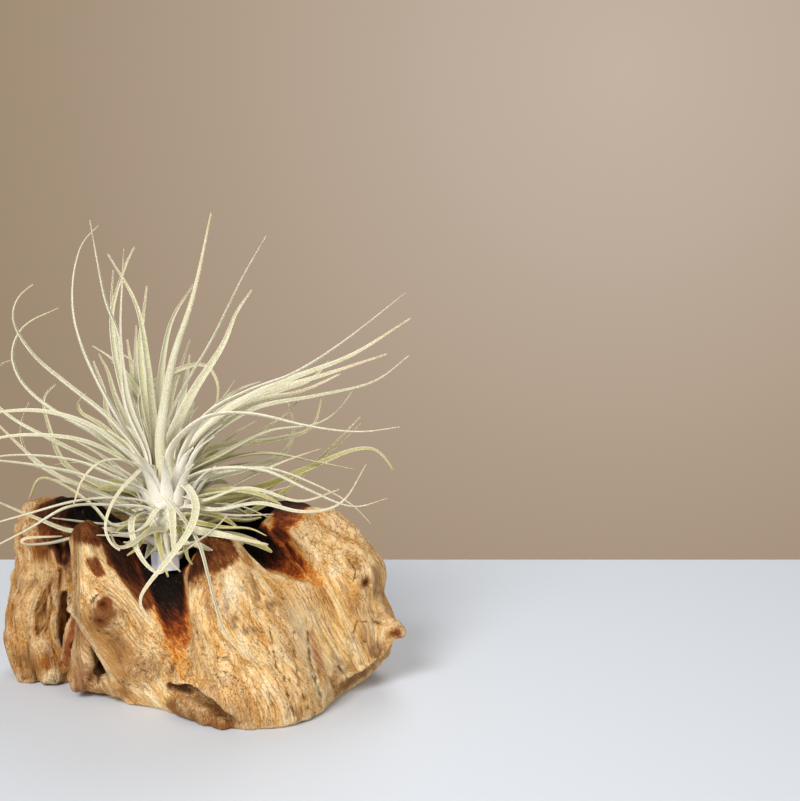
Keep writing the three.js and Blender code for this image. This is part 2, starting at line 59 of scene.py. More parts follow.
def linear(colour):
    parts = [int(colour[i:i + 2], 16) / 255 for i in (1, 3, 5)]
    return [c / 12.92 if c <= 0.04045 else ((c + 0.055) / 1.055) ** 2.4 for c in parts] + [1.0]


def add(tree, kind, inputs=None, stops=None, **settings):
    made = tree.nodes.new(kind)
    for name, value in settings.items():
        setattr(made, name, value)
    for name, value in (inputs or {}).items():
        if isinstance(value, bpy.types.NodeSocket):
            tree.links.new(value, made.inputs[name])
        else:
            made.inputs[name].default_value = value
    if stops:
        ramp = made.color_ramp
        ramp.elements[0].position, ramp.elements[-1].position = stops[0][0], stops[-1][0]
        ramp.elements[0].color, ramp.elements[-1].color = linear(stops[0][1]), linear(stops[-1][1])
        for place, colour in stops[1:-1]:
            ramp.elements.new(place).color = linear(colour)
    return made


def numbers(text):
    return tuple(word if word[0] == "#" else float(word) for word in text.split())


def table(text):
    """Rows of numbers and colours: bars part the columns, commas the points, semicolons start notes."""
    rows = []
    for line in text.splitlines():
        line = line.split(";")[0].strip()
        if line:
            columns = [[numbers(point) for point in column.split(",")] for column in line.split("|")]
            rows.append([column if len(column) > 1 else column[0] for column in columns])
    return rows


def blank_material(name):
    material = bpy.data.materials.new(name)
    material.use_nodes = True
    material.node_tree.nodes.clear()
    return material, material.node_tree


def shade(tree, inputs):
    """One surface shader, joined to the material's output."""
    shader = add(tree, "ShaderNodeBsdfPrincipled", inputs)
    add(tree, "ShaderNodeOutputMaterial", {"Surface": shader.outputs["BSDF"]})


def bump(tree, height, strength, distance):
    """The normals of a surface that stands out by height times a distance in mm."""
    return add(tree, "ShaderNodeBump", {"Height": height, "Strength": strength,
                                        "Distance": distance * MM}).outputs["Normal"]


print("cream wood in linear light:", [round(c, 3) for c in linear("#E6C48E")])

# %% [markdown]
# The camera stands where the picture was taken: in front, to the right and a little above, and it looks
# down by 9.5 degrees. It is made first, so that every later step can be looked at.

# %% Camera
EYE = Vector((112.5, -721, 284.5))
EYE_PITCH = math.radians(9.5)
LENS, FILM = 60, 36  # mm
camera_data = bpy.data.cameras.new("camera")
camera_data.lens, camera_data.sensor_width = LENS, FILM
camera = bpy.data.objects.new("camera", camera_data)
camera.location = EYE * MM
camera.rotation_euler = (math.pi / 2 - EYE_PITCH, 0, 0)
bpy.context.scene.collection.objects.link(camera)
bpy.context.scene.camera = camera
print("camera is", round(camera.location.length, 2), "m from the origin")

# %% [markdown]
# The block is root wood that lay outside for years and was then scorched where the plant sits. Its
# solid has the lobes and grooves in flat facets. A sculptor would remesh it and work over it with
# brushes. Here a copy is merged, remeshed into even small faces and smoothed, and then every point is
# moved along its normal by rules for ridges, lumps, knots and cracks, which can be read and changed.

# %% Even faces over the wood's form
WOOD_FACE = 1.15  # mm, the side of one face
MERGED = 0.002  # mm: points nearer than this are one


def link(name, mesh):
    piece = bpy.data.objects.new(name, mesh)
    bpy.context.scene.collection.objects.link(piece)
    return piece


def mesh_of(work, name):
    mesh = bpy.data.meshes.new(name)
    work.to_mesh(mesh)
    work.free()
    return mesh


def apply_modifiers(piece):
    graph = bpy.context.evaluated_depsgraph_get()
    finished = bpy.data.meshes.new_from_object(piece.evaluated_get(graph))
    piece.modifiers.clear()
    piece.data = finished


def even_faces(piece, rounds):
    remesh = piece.modifiers.new("even faces", "REMESH")
    remesh.mode = "VOXEL"
    remesh.voxel_size = WOOD_FACE * MM
    remesh.use_smooth_shade = True
    soften = piece.modifiers.new("worn soft", "SMOOTH")
    soften.factor = 0.5
    soften.iterations = rounds
    apply_modifiers(piece)


work = bmesh.new()
work.from_mesh(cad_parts["driftwood"].data)
bmesh.ops.remove_doubles(work, verts=work.verts, dist=MERGED * MM)
wood = link("root_wood", mesh_of(work, "root_wood"))
even_faces(wood, rounds=10)
print("wood:", len(wood.data.vertices), "points,", len(wood.data.polygons), "faces")

# %% [markdown]
# Some forms are sharper than the solid's facets: the split piece that leans in the gap on the left, the
# knob and the rim on the right, the bleached rib across the finger. A sculptor would add clay. Here
# each is a round-ended limb along a line, and one more even remesh melts them into the block.

# %% Added limbs
# x y z radius, in mm, at each point of a limb
LIMBS = table("""
-65 -10 50 1.6, -61 -18 38 5.2, -60.5 -20 25 7.6, -64 -19 9 6 ; split piece
-66 -12 47 1.4, -69.5 -14 34 2.3, -73 -13 18 1.8 ; a sliver beside it
-68 -11 46 1.2, -72.5 -12 33 2, -75.5 -11 20 1.4
-73 -8 54 1.6, -66 -22 50 1.9, -59.6 -26.5 44 1.9, -54 -27 35 1.8, -49.5 -27 26 1.8, -45 -28 17 2.2, \
-40 -29 7 2.6 ; the rib along the finger's edge
-57 -22.5 47 4, -51 -24 37 5, -46 -25 27 5, -41 -26 17 5
-57 -16 7 6, -50 -20 9 6.5, -43 -24 9 7
-12 42 87 8, 12 44 88 8.5, 34 40 91 7 ; the hollow's rim at the back
44 5 86 2.2, 52 -4 75 2.4, 63 -11 66 1.2 ; a ridge down the right groove
104 -1 36 5.5, 110 -2 34 4.6, 113 -3 32.5 3.2 ; the knob
110 -4 30 1.6, 103 -8 21 1.7, 92 -13.5 15 1.5, 82 -21 12 0.8 ; its lower rim
60 16 94 7, 74 16 91 7.5, 84 12 84 7, 90 8 76 5 ; the right shoulder
-4 -44 6 5.5, 6 -52 5 6, 20 -60 3 4 ; the ledge
-88 2.5 24 8, -86 2.5 8 8.5 ; the left lobe's rounded foot
""")
BALL_STEP = 0.3  # of a ball's radius, from one ball to the next


def balls_along(line):
    """Middles and radii of balls along a line, so close together that the remesh makes one limb of them."""
    for start, end in zip(np.array(line), np.array(line[1:])):
        apart = BALL_STEP * min(start[3], end[3])
        count = max(2, math.ceil(np.linalg.norm((end - start)[:3]) / apart))
        for part in np.linspace(0, 1, count + 1):
            yield start + (end - start) * part


work = bmesh.new()
bmesh.ops.create_icosphere(work, subdivisions=2, radius=1)
ball = np.array([tuple(v.co) for v in work.verts])
ball_faces = np.array([[v.index for v in f.verts] for f in work.faces])
work.free()
balls = [b for (line,) in LIMBS for b in balls_along(line)]
ball_points = np.vstack([ball * b[3] + b[:3] for b in balls])
ball_sides = np.vstack([ball_faces + len(ball) * number for number in range(len(balls))])
limb_mesh = bpy.data.meshes.new("limbs")
limb_mesh.from_pydata((ball_points * MM).tolist(), [], ball_sides.tolist())
work = bmesh.new()
work.from_mesh(wood.data)
work.from_mesh(limb_mesh)
work.to_mesh(wood.data)
work.free()
even_faces(wood, rounds=2)
print(len(LIMBS), "limbs,", len(wood.data.polygons), "faces")

# %% [markdown]
# Wood is also missing where a branch rotted out and where pieces split apart. Points inside such a cut
# are moved straight back to its far wall, and the remesh then gives the walls even faces too.

# %% Cuts
# x y z radius, in mm, at each point of a cut | how many times deeper than wide it is
CUTS = table("""
-75.8 -3 52 3.2, -76.4 -3 40 3.5, -77.2 -3 24 1.5 | 6 ; slot by the split piece
-56 -24 34 0.8, -53.5 -22 26 1.8, -51.5 -18 18 2.4 | 4 ; the dark gap right of it
-65.5 -15 43 0.6, -68.5 -15 30 0.9, -72 -14 15 0.8 | 4
-77 0 82 3, -76 -2 74 2.2 | 3 ; the dip between the left lobe and the finger
-47 -30.5 56.3 3.5 | 1.5 ; the knot's two eyes
-49 -31 47.6 3.1 | 1.5
93.8 -6.5 61.6 3.2 | 1.6 ; the right knot's eye and its brow
88.5 -8.5 66.5 0.9, 92 -7 66.5 1.3, 97 -6 64 1 | 2
95 -7 45.5 1, 98.5 -7 44 1.2 | 2
92 -8 42.5 1.2 | 2
90.5 -9 38.5 1.1 | 2
-11 -38 13.6 1.2, -2 -43 15 1.8, 7 -49 12.2 2, 15 -56 9 1.8, 25 -64 4 1.5 | 4 ; over the ledge
-6 -33 30 0.8, -10 -35 24 1.2, -12 -37 17 1.4, -11 -38 13 1.4 | 2
-85 0 58 0.8, -86.5 0 50 2.4, -88.5 0 40 2.8, -91 0 31 1 | 1.3 ; long scar
-79 1 66 2.2, -79 1 56 1.6, -81 0 48 0.8 | 2
-94 2 28 1, -93 1 14 1.4, -94 0 2 2 | 2
27 -26 87 0.6, 31.3 -32 80 1.3, 36 -39 70 1.5, 39.6 -43.6 59 0.7 | 1.2 ; the trunk's crease
72 -32 20 0.8, 76 -30 12 1.6, 80 -28 4 2.2 | 2
""")


def step(value, low, high):
    """Rises smoothly from 0 at low to 1 at high."""
    t = np.clip((value - low) / (high - low), 0, 1)
    return t * t * (3 - 2 * t)


def on_line(points, line):
    """For each point the nearest spot of a line, and whatever numbers the line has there beyond x y z."""
    line = np.atleast_2d(line)
    best = np.full(len(points), np.inf)
    nearest = np.empty((len(points), line.shape[1]))
    for start, end in zip(line, line[1:] if len(line) > 1 else line):
        run = end - start
        part = np.clip((points - start[:3]) @ run[:3] / max(run[:3] @ run[:3], 1e-9), 0, 1)
        spot = start + part[:, None] * run
        away = ((points - spot[:, :3]) ** 2).sum(1)
        nearer = away < best
        best[nearer], nearest[nearer] = away[nearer], spot[nearer]
    return nearest[:, :3], nearest[:, 3:].T


def nearness(points, line, radius):
    """1 on a line or at a point, fading to 0 over about twice the radius, which may differ on each axis."""
    scaled = points / np.array(radius)
    spots, _ = on_line(scaled, np.array(line) / np.array(radius))
    return np.exp(-((scaled - spots) ** 2).sum(1))


def vectors(items, name):
    flat = np.empty(len(items) * 3)
    items.foreach_get(name, flat)
    return flat.reshape(-1, 3)


def positions(piece):
    return vectors(piece.data.vertices, "co") / MM


def normals(piece):
    return vectors(piece.data.vertex_normals, "vector")


def place(piece, points):
    piece.data.vertices.foreach_set("co", (points * MM).ravel())
    piece.data.update()


points = positions(wood)
for line, (deep,) in CUTS:
    stretch = np.array([1, 1 / deep, 1])
    spots, (wide,) = on_line(points, line)
    arm = (points - spots) * stretch
    square = (arm**2).sum(1)
    room = arm[:, 1] ** 2 + wide**2 - square
    inside = square < wide**2
    points[inside, 1] += deep * (np.sqrt(room[inside]) - arm[inside, 1])
place(wood, points)
even_faces(wood, rounds=1)
print(len(CUTS), "cuts,", len(wood.data.polygons), "faces")

# %% [markdown]
# Wood is made of fibres, and nearly everything on it runs along them: ridges, stains, cracks and pores.
# So each point gets three numbers: how far across the fibres it lies, how far into the block, and how
# far along them. The fibres stand upright in the left lobe, the sides and the back, lean down to the
# right over the front, and swerve round knots as water does round a stone.

# %% The run of the grain
# middle | the radius that the fibres swerve round
KNOTS = table("""
-46 -29 51 | 9
93 -6 62 | 7
-28 -32 23 | 9
97 -7 44 | 6
106 -2 32 | 6
20 -52 36 | 5
""")


def grain_of(points):
    x, y, z = points.T
    sway = 3 * np.sin(z / 17 + y / 30) + 1.5 * np.sin(z / 7 + x / 21)
    upright = x + sway
    finger = 0.8 * x + 0.58 * z - 0.004 * np.maximum(z - 60, 0) ** 2 + 0.6 * sway
    trunk = 0.84 * x + 0.54 * z + 0.0065 * np.maximum(30 - z, 0) ** 2 + 0.7 * sway
    front = 1 - step(y, 12, 60)
    past_groove = step(x + 0.28 * (z - 40), -12, -4)
    in_finger = front * step(x, -66, -60) * (1 - past_groove)
    in_trunk = front * past_groove * (1 - step(x, 84, 106))
    across = upright + in_finger * (finger - upright) + in_trunk * (trunk - upright)
    along = z + in_finger * (0.8 * z - 0.6 * x - z) + in_trunk * (0.84 * z - 0.54 * x - z)
    for middle, (radius,) in KNOTS:
        arm = points - np.array(middle)
        at, away = np.abs(arm).sum(1).argmin(), (arm**2).sum(1)
        across = across - (across - across[at]) * radius**2 / (away + radius**2)
    return np.stack([across, y, along], 1)


points = positions(wood)
grain = grain_of(points)
print("grain runs over", np.ptp(grain, axis=0).round(), "mm across, inwards and along")

# %% [markdown]
# Years of weather eat the soft wood between the hard bands, which leaves ridges along the fibres. They
# are deepest on the old left lobe and under the ledge, and the smooth front has only long shallow ones.
# Lumps and gnarls lie over them without following the grain.

# %% Ridges and lumps
def rough(points, size, seed=0.0):
    """Smooth random numbers from -1 to 1 in bumps as large as size, which may differ on each axis."""
    return np.array([noise.noise(Vector(p)) for p in points / np.array(size) + seed])


def weathered(points):
    """How deeply the weather has cut: 1 on the left lobe and the ledge, less elsewhere."""
    x, y, z = points.T
    left = 1 - step(x, -68, -60)
    ledge = nearness(points, (12, -56, 2), (26, 16, 10))
    side = 0.6 * step(x, 96, 112) + 0.5 * step(y, 20, 50)
    return np.clip(0.22 + left + ledge + side, 0, 1)


worn = weathered(points)
bands = rough(grain, (8.5, 13, 48), 3.1)
plates = rough(points, (13, 13, 19), 4.4)
lift = (0.3 + 0.25 * worn) * (0.6 - 2.2 * np.abs(bands))
lift += (0.2 + 1.3 * worn) * (0.35 - 1.4 * np.abs(plates))
lift += (0.25 + 0.3 * worn) * rough(grain, (3.2, 5, 26), 7.7)
lift += 1.3 * rough(points, (24, 24, 30), 1.3)
ends = step(np.abs(points[:, 0] - 6), 80, 98)  # both ends of the block are knobby
lift += 1.7 * ends * rough(points, (8, 8, 10), 4.4)
lift += (0.12 + 0.3 * worn) * rough(points, (4.2, 4.2, 6.0), 5.9)
lift -= 0.8 * worn * step(rough(points, (3.2, 3.2, 4.4), 8.2), 0.36, 0.58)
print("lift from", lift.min().round(2), "to", lift.max().round(2), "mm")

# %% [markdown]
# Single features are listed one by one: where a branch broke off there is a knot with a rotted eye and a
# swollen rim, thin cracks follow the drying wood, and some edges are undercut. Each one is a middle, a
# radius along each axis and a height in millimetres, below nought where wood is missing.

# %% Knots, cracks and edges
# middle | radius along each axis | height
FEATURES = table("""
-47 -30 52 | 10 12 12 | 1.8 ; the finger's knot: its swollen rim
-51.5 -30 56 | 1.6 9 3.2 | -1.2
-43 -30 60 | 4 9 1.4 | -0.8
93 -6 62.5 | 7 9 7 | 1.2 ; the right lobe's knot
96.5 -7 44.5 | 6 9 5 | 0.8
-82 -2 66 | 9 12 6 | 1.6 ; the shoulder above the slot
-97 -2 40 | 6 12 14 | 1.2
-97 1 62 | 5 9 2 | 1.2
-98 0 14 | 5 12 10 | 1.4
-100 2 84 | 5 14 3 | -1.6
-88 4 82 | 7 12 3 | -1.2
24 -34 70 | 7 14 16 | 0.9 ; the pale facet under the trunk's cap
38 -38 62 | 2.2 12 15 | -1
-28 -32 23 | 6 9 5 | 1.1 ; the swirl low on the finger
104 -2 12 | 9 9 5 | -2.6 ; the hollow under the right rim
99 0 53 | 4 12 7 | -2
2 -47 24 | 5 9 3 | 0.8
66 -30 52 | 5 12 12 | 0.8
75 -22 48 | 3 12 14 | -0.9
84 -14 70 | 3 12 10 | -1.2
90 -8 76 | 5 12 6 | 1
34 78 56 | 15 12 15 | 3 ; two knots on the back
34 80 57 | 5 12 6 | -3.5
-52 74 34 | 11 12 13 | 2.4
-52 76 35 | 3.5 12 5 | -2.6
-10 84 60 | 5 14 34 | -2.4 ; and the dip between them
""")
# x z at each point of a drying crack, which is half a millimetre wide on the real wood
CRACKS = table("""
-41 14, -37 12.6, -33 12.2, -31 11
-33 31, -28 29.5, -25.5 25
-30 24, -27 21.5, -24 21
6.8 38, 6.4 35.2, 15.5 35.5, 21 36, 27 31, 30 27
30 25, 25 28.5, 19 29.5, 15.5 27, 19 23.5, 25 21
4 46, 5 40
66 26, 70 16, 71 8
55 26, 58 16
56 45, 57.5 33, 60.5 20, 64.5 8
62 46, 64.5 34, 69 21
51 36, 52.5 25, 55.5 13, 58 6
44 50, 46 40, 49 29
79 20, 83 12, 84 4
89 42, 94 40.5, 99 41, 104 37
89 42, 87 36, 88 30
-84.6 58.8, -83 50, -84.7 38.5, -87.5 30.5, -91.3 28, -92.5 38, -90.5 49, -84.6 58.8
-86 50, -88 44, -87 37, -89.5 32
-72 62, -74 54
84 76, 88 70, 87 64
-58 12, -57 6
""")


def ring(middle, wide, tall, start, turns):
    """Points on an oval round a knot."""
    steps = [start + 2 * math.pi * turns * number / 12 for number in range(13)]
    return [(middle[0] + wide * math.cos(a), middle[1] + tall * math.sin(a)) for a in steps]


CRACKS += [[ring((-46.5, 52), 8.5, 11.5, 2.0, 0.45)], [ring((98, 34), 7, 6, 0.9, 0.5)]]
CRACKS_BACK = 12  # mm: they go this far back from the front
FAR = 1e3  # mm


def crack_distance(points):
    flat = points * np.array([1, 0, 1])
    nearest = np.full(len(points), FAR)
    for (line,) in CRACKS:
        spots, _ = on_line(flat, [(x, 0, z) for x, z in line])
        nearest = np.minimum(nearest, np.linalg.norm(flat - spots, axis=1))
    return np.where(points[:, 1] < CRACKS_BACK, nearest, FAR)


for middle, radius, (height,) in FEATURES:
    lift += height * nearness(points, middle, radius)
ragged = crack_distance(points) + 0.7 * rough(points, (2.6, 2.6, 2.6), 9.4)
ragged += 0.6 * step(rough(points, (5, 5, 5), 6.1), 0, 0.4)
lift -= 0.6 * (1 - step(ragged, 0.2, 1.2))
print(len(FEATURES), "features and", len(CRACKS), "cracks")

# %% [markdown]
# The plant's short stem stands in a socket, and the wood rests on its worn feet. So no point is lifted
# into the stem's room, and none goes below the surface that the block stands on.

# %% Put the wood in place
STEM_FOOT, STEM_TOP = Vector((-15, -6, 73)), Vector((-15.6, -6, 122))
STEM_RADII = [5.5, 9, 11.5, 11, 9, 5]
STEM_ROOM = 0.5  # mm between the stem and the wood

# middle | radius along each axis | move, for edges that stand further out than the solid's
PUSHES = table("""
-108 0 36 | 14 40 26 | -4 0 0
-104 0 84 | 10 30 11 | -4.5 0 0
37 -20 82 | 16 14 12 | 0 0 -6
12 -20 89 | 9 12 9 | -3.5 0 1.5
40 8 90 | 9 14 12 | -5 0 0
102 0 47 | 9 30 7 | -3 0 0
""")

points = points + normals(wood) * lift[:, None]
for middle, radius, move in PUSHES:
    points += nearness(points, middle, radius)[:, None] * np.array(move)
height = np.clip((points[:, 2] - STEM_FOOT.z) / (STEM_TOP.z - STEM_FOOT.z), 0, 1)
girth = np.interp(height, np.linspace(0, 1, len(STEM_RADII)), STEM_RADII) + STEM_ROOM
aside = points[:, :2] - np.array(STEM_FOOT.xy)
reach = np.linalg.norm(aside, axis=1)
inside = (reach < girth) & (points[:, 2] > STEM_FOOT.z - STEM_RADII[0])
points[inside, :2] += aside[inside] * (girth / np.maximum(reach, 0.1) - 1)[inside, None]
points[:, 2] = np.maximum(points[:, 2], 0)
place(wood, points)
wood.data.polygons.foreach_set("use_smooth", [True] * len(wood.data.polygons))
print(inside.sum(), "points cleared; wood from", points.min(0).round(1), "to", points.max(0).round(1))

# %% [markdown]
# Fire drew on this wood. In the hollow the wood is charcoal, and towards the end of each groove it
# pales through red-brown and orange to yellow, as wood does when it gets less and less heat. So the
# material needs one number at each point, the heat that it took: more than 1 in the hollow, fading with
# distance from the lines that the flame followed, and falling along each of them.

# %% Heat
# x y z radius heat at each point: these burnt with a flame
FLAMES = table("""
-15 2 92 24 1.35, -17 -4 80 21 1.3, -16 -9 69 17 1.2, -14 -14 60 12.5 1, -11.5 -21 50 9.5 0.74, \
-8 -27 38 8.5 0.46, -6 -33 29 6.5 0.31, -4 -37 21 4 0.18
2 4 88 22 1.3, 24 6 82 17 1.2, 36 6 78 13 0.9, 47 2 74 10.5 0.66, 57 -4 69 8 0.48, 67 -13 64 4.5 0.28
45 8 84 9 0.7, 50 9 96 10 0.55, 48 34 104 20 0.9
-8 26 88 26 1.3, 8 22 86 22 1.25, 24 30 84 16 1.15, 32 34 92 14 1
""")
# and these only got smoked and browned
SMOKES = table("""
-30 10 96 22 1.3, -52 6 94 16 1.1, -66 2 90 10 0.95, -74 -2 80 7 0.88, -76 -4 72 4.5 0.7
-84 6 92 9 0.55, -82 4 84 7 0.55
-58 16 96 18 1.1, -72 12 100 13 0.95, -86 8 98 9 0.7
-78 2 84 6 0.85, -76 0 74 5 0.7
-60 -15 96 11 0.52, -52 -15 95 11 0.66
-44 -12 92 11 0.8, -38 -14 82 12 0.85, -31 -18 70 10 0.75, -25 -22 58 7 0.5
-54 -22 78 5 0.5, -50 -24 74 4 0.46
3 -26 76 10 0.62, 9 -28 84 14 0.6, 18 -28 84 12 0.55, 24 -26 80 6 0.4
6 -30 72 9 0.45, 14 -34 70 7 0.4
""")
FADING = (0.5, 1.25)  # radii away from a line, where its heat starts to fade and where it ends


def heat_of(points, flames):
    heat = np.zeros(len(points))
    for (line,) in flames:
        spots, (wide, hot) = on_line(points, line)
        away = np.linalg.norm(points - spots, axis=1) / wide
        heat = np.maximum(heat, hot * (1 - step(away, *FADING)))
    return heat


flamed, smoked = heat_of(points, FLAMES), heat_of(points, SMOKES)
heat = np.maximum(flamed, smoked)
print(round(100 * (heat > 0.8).mean()), "% of the points are charred")

# %% [markdown]
# Some marks have nothing to do with heat: rust-brown stains, grey weathered patches, bleached streaks,
# and painted shade in the slot, the gaps, the recesses and under the right rim. Each is a middle, a radius
# along each axis, a colour and a strength. They are mixed into one colour and one amount at each point,
# and the material breaks their edges up along the grain.

# %% Stains and painted shade
# middle or line | radius along each axis | colour and strength
# rows that paint shade: the slot, the gap right of the split piece, the dark dip beside the finger, the
# right lobe's recess, under its rim (brown wood there too) and the seam over the ledge
STAINS_AND_SHADE = table("""
-86 -2 15 | 7 20 6 | #9A5216 0.9 ; rust low on the left lobe
-74 -10 13 | 5 14 5 | #8A4A18 0.7
-100 0 16 | 7 20 12 | #8E6A42 0.5
-75 -4 50, -76 -4 26 | 3 14 4 | #3A1A0C 1 ; the slot
-62 -18 40, -60 -20 24, -63 -19 6 | 6 12 5 | #A8704A 0.85 ; the split piece
-66 -12 46, -70 -13 34, -74 -12 17 | 2.6 10 3 | #98512C 0.95
-55 -20 34, -53 -18 12 | 2 10 5 | #4A2E1A 0.8
-56 -18 5, -44 -24 8 | 6 10 5 | #94683C 0.7
-79 -1 61 | 5 14 8 | #8A5222 0.6
-85 0 57, -83.6 0 48, -85.4 0 38, -88 0 31 | 1 14 3 | #7A4718 0.7 ; long scar
-86.5 0 54, -91.5 0 46, -92.6 0 36, -91 0 30 | 1 14 3 | #7A4718 0.6
-94 0 57, -96 0 46, -97 0 30 | 2.4 14 6 | #E9C588 0.6
-108 4 60, -110 4 40 | 4 18 8 | #B07838 0.5
-75 -4 86, -75 -4 73 | 3.5 14 6 | #3E1E0E 1 ; the dark dip beside the finger
-92 -1 64 | 8 14 8 | #E6C084 0.8
-99 0 36 | 5 14 11 | #DDB472 0.65
-88 0 48 | 3 14 10 | #A8763C 0.7
-103 2 60 | 5 14 9 | #9A6028 0.6
-84 -2 33 | 4 14 9 | #D8A865 0.5
-88 2 80 | 12 14 9 | #8A4C1C 0.8
-90 -1 20 | 6 14 4 | #C8924C 0.5
-94 0 12 | 18 16 14 | #94612C 0.66
-100 6 84 | 4 14 3 | #A05A28 0.7
-47 -29 52 | 9.5 14 12 | #74451C 1.1 ; the finger's knot
-46.6 -29 56.6 | 5 14 5 | #70320E 1.6
-49 -29 47.6 | 5 14 4.4 | #692C0B 1.6
-72 -9 53, -66 -22 50, -59.6 -27 44, -54 -28 35, -49.5 -28 26, -44 -29 15 | 2.2 12 2.4 | #EAD2A6 0.75
-38 -31 22 | 12 14 3 | #EAD2A6 0.5
-50 -24 24 | 12 12 3 | #C07830 0.55
-29 -32 22 | 7 14 6 | #A4835C 0.65 ; the swirl
-38 -26 9 | 16 14 5 | #94683A 0.75
-27 -33 22 | 17 16 13 | #A07C52 0.82
28 -56 8 | 22 16 9 | #AE7F48 0.62
88 -10 56 | 13 14 17 | #C68A42 0.66
23 -38 68 | 7 16 13 | #F8DEB0 0.85 ; pale facet under the trunk's cap
8 -40 72, 12 -42 58 | 3 14 4 | #B88A5A 0.5
18 -38 74, 22 -45 62 | 2.2 14 4 | #7A5230 0.5
27 -26 87, 31.3 -32 80, 36 -39 70, 39.6 -43.6 59 | 1.3 14 2.4 | #8A5222 0.5
-52 -27 42, -38 -31 24 | 21 16 19 | #AE7F48 0.85 ; the finger's dull lower side
34 82 57 | 6 16 7 | #4E2A12 0.9 ; the eyes of the knots on the back
-52 78 35 | 4.5 16 6 | #55301A 0.9
33 -48 50 | 5 14 4 | #5A4230 0.6 ; grey weathered patches
43 -42 60 | 5 14 3.4 | #5E4634 0.55
26 -46 54 | 2.6 14 6 | #62401F 0.55
64 -34 40, 70 -34 24 | 3 14 4 | #A0501E 0.65
78 -22 58, 82 -20 44 | 5 14 6 | #DDA65C 0.5
55 -36 62, 61 -36 32 | 8 14 8 | #FFE4B0 0.6
58 -44 36, 66 -46 12 | 6 14 6 | #E6BE84 0.35
56 -50 8 | 8 14 6 | #80542E 0.8
78 -24 20 | 8 14 8 | #B88E68 0.5
93 -6 62 | 5 14 6 | #7A4A26 0.8 ; the right lobe's knot
99 0 68, 100 0 54 | 3.5 14 5 | #8A5A34 0.6
96 -7 45 | 4.5 14 3 | #8A6034 0.5
111 -2 33 | 4 12 4 | #7A3C18 0.9
92 -10 46, 96 -10 26 | 9 14 9 | #B98A50 0.5
108 -4 20, 98 -10 12, 84 -18 7 | 9 14 7 | #8F6232 0.8
88 -6 76, 90 -6 70 | 3 14 3 | #9A6A38 0.6
-6 -44 6, 8 -52 5, 22 -61 2 | 8 10 5.5 | #8A5626 1 ; the ledge
16 -58 5 | 8 10 3 | #AA6E34 0.5
-10 -37 14, 6 -47 13, 24 -62 5 | 3 6 1.8 | #3E2413 0.8 ; and the seam above it
""")


def stains_and_shade_on(points):
    colour = np.zeros((len(points), 3))
    amount, weight = np.zeros(len(points)), np.zeros(len(points))
    for middle, radius, (stain_and_shade, strength) in STAINS_AND_SHADE:
        here = strength * nearness(points, middle, radius)
        share = here**4
        colour += share[:, None] * np.array(linear(stain_and_shade)[:3])
        weight += share
        amount = np.maximum(amount, here)
    return colour / np.maximum(weight, 1e-9)[:, None], amount


stain_and_shade, stain_and_shade_amount = stains_and_shade_on(points)
print(len(STAINS_AND_SHADE), "stains,", round(100 * (stain_and_shade_amount > 0.3).mean()), "% of the points")

# %% [markdown]
# Shade is painted into the dips, and the ridges are painted pale, partly as a painted highlight and partly
# as rubbed wear. A point's height over the smoothed surface around it says which it is. The surface is
# smoothed by giving each point the mean of its neighbours a few times over.

# %% Dips and ridges
SMOOTHINGS = 12
FULL_RELIEF = 1.2  # mm over the smoothed surface that count as a full ridge
CRACK_ENDS = 5  # mm, further than any colour of a crack reaches


def relief(piece, points):
    edges = np.empty(len(piece.data.edges) * 2, dtype=np.int64)
    piece.data.edges.foreach_get("vertices", edges)
    ends = np.concatenate([edges[0::2], edges[1::2]])
    others = np.concatenate([edges[1::2], edges[0::2]])
    count = np.bincount(ends, minlength=len(points))[:, None]
    smooth = points
    for _ in range(SMOOTHINGS):
        sums = [np.bincount(ends, smooth[others, axis], len(points)) for axis in range(3)]
        smooth = np.stack(sums, 1) / count
    return ((points - smooth) * normals(piece)).sum(1)


def give(piece, name, kind, values):
    attribute = piece.data.attributes.new(name, kind, "POINT")
    field = {"FLOAT": "value", "FLOAT_VECTOR": "vector", "FLOAT_COLOR": "color"}[kind]
    attribute.data.foreach_set(field, np.ascontiguousarray(values, dtype=np.float32).ravel())


height_over = relief(wood, points)
give(wood, "grain", "FLOAT_VECTOR", grain * MM)
give(wood, "scorch", "FLOAT", heat)
give(wood, "flamed", "FLOAT", flamed / np.maximum(flamed + smoked, 0.05))
give(wood, "stain_and_shade", "FLOAT_COLOR", np.concatenate([stain_and_shade, stain_and_shade_amount[:, None]], 1))
give(wood, "relief", "FLOAT", np.clip(height_over / FULL_RELIEF, -1, 1))
give(wood, "crack", "FLOAT", np.minimum(ragged, CRACK_ENDS))
give(wood, "worn", "FLOAT", worn)
print("relief from", height_over.min().round(2), "to", height_over.max().round(2), "mm")

# %% [markdown]
# Root wood, bare, dried and weathered: honey-coloured with cream and tan bands. To the eye it is matt,
# with fine lines along the fibres and dark pores. Every pattern reads the grain numbers, so it follows
# the fibres, and its sizes are the real ones: fibres and pores about a millimetre wide, bands 3 to 8
# mm. The char is laid over it by the heat, with tongues of flame along the grain where the heat gets
# less.

# %% Scorched root wood
root_wood, tree = blank_material("scorched root wood")


def stored(name, output="Fac"):
    """What the piece holds at each point under a name."""
    return add(tree, "ShaderNodeAttribute", attribute_name=name).outputs[output]


def noise_of(size, detail=3.0, roughness=0.6, source=None):
    """Noise whose bumps have a size in mm: across, into and along the fibres."""
    sized = add(tree, "ShaderNodeVectorMath", {0: source or grain_in, 1: [1 / s / MM for s in size]},
                operation="MULTIPLY").outputs[0]
    return add(tree, "ShaderNodeTexNoise", {"Vector": sized, "Scale": 1.0, "Detail": detail,
                                            "Roughness": roughness}).outputs["Fac"]


def ramp(value, stops):
    return add(tree, "ShaderNodeValToRGB", {"Fac": value}, stops=stops).outputs["Color"]


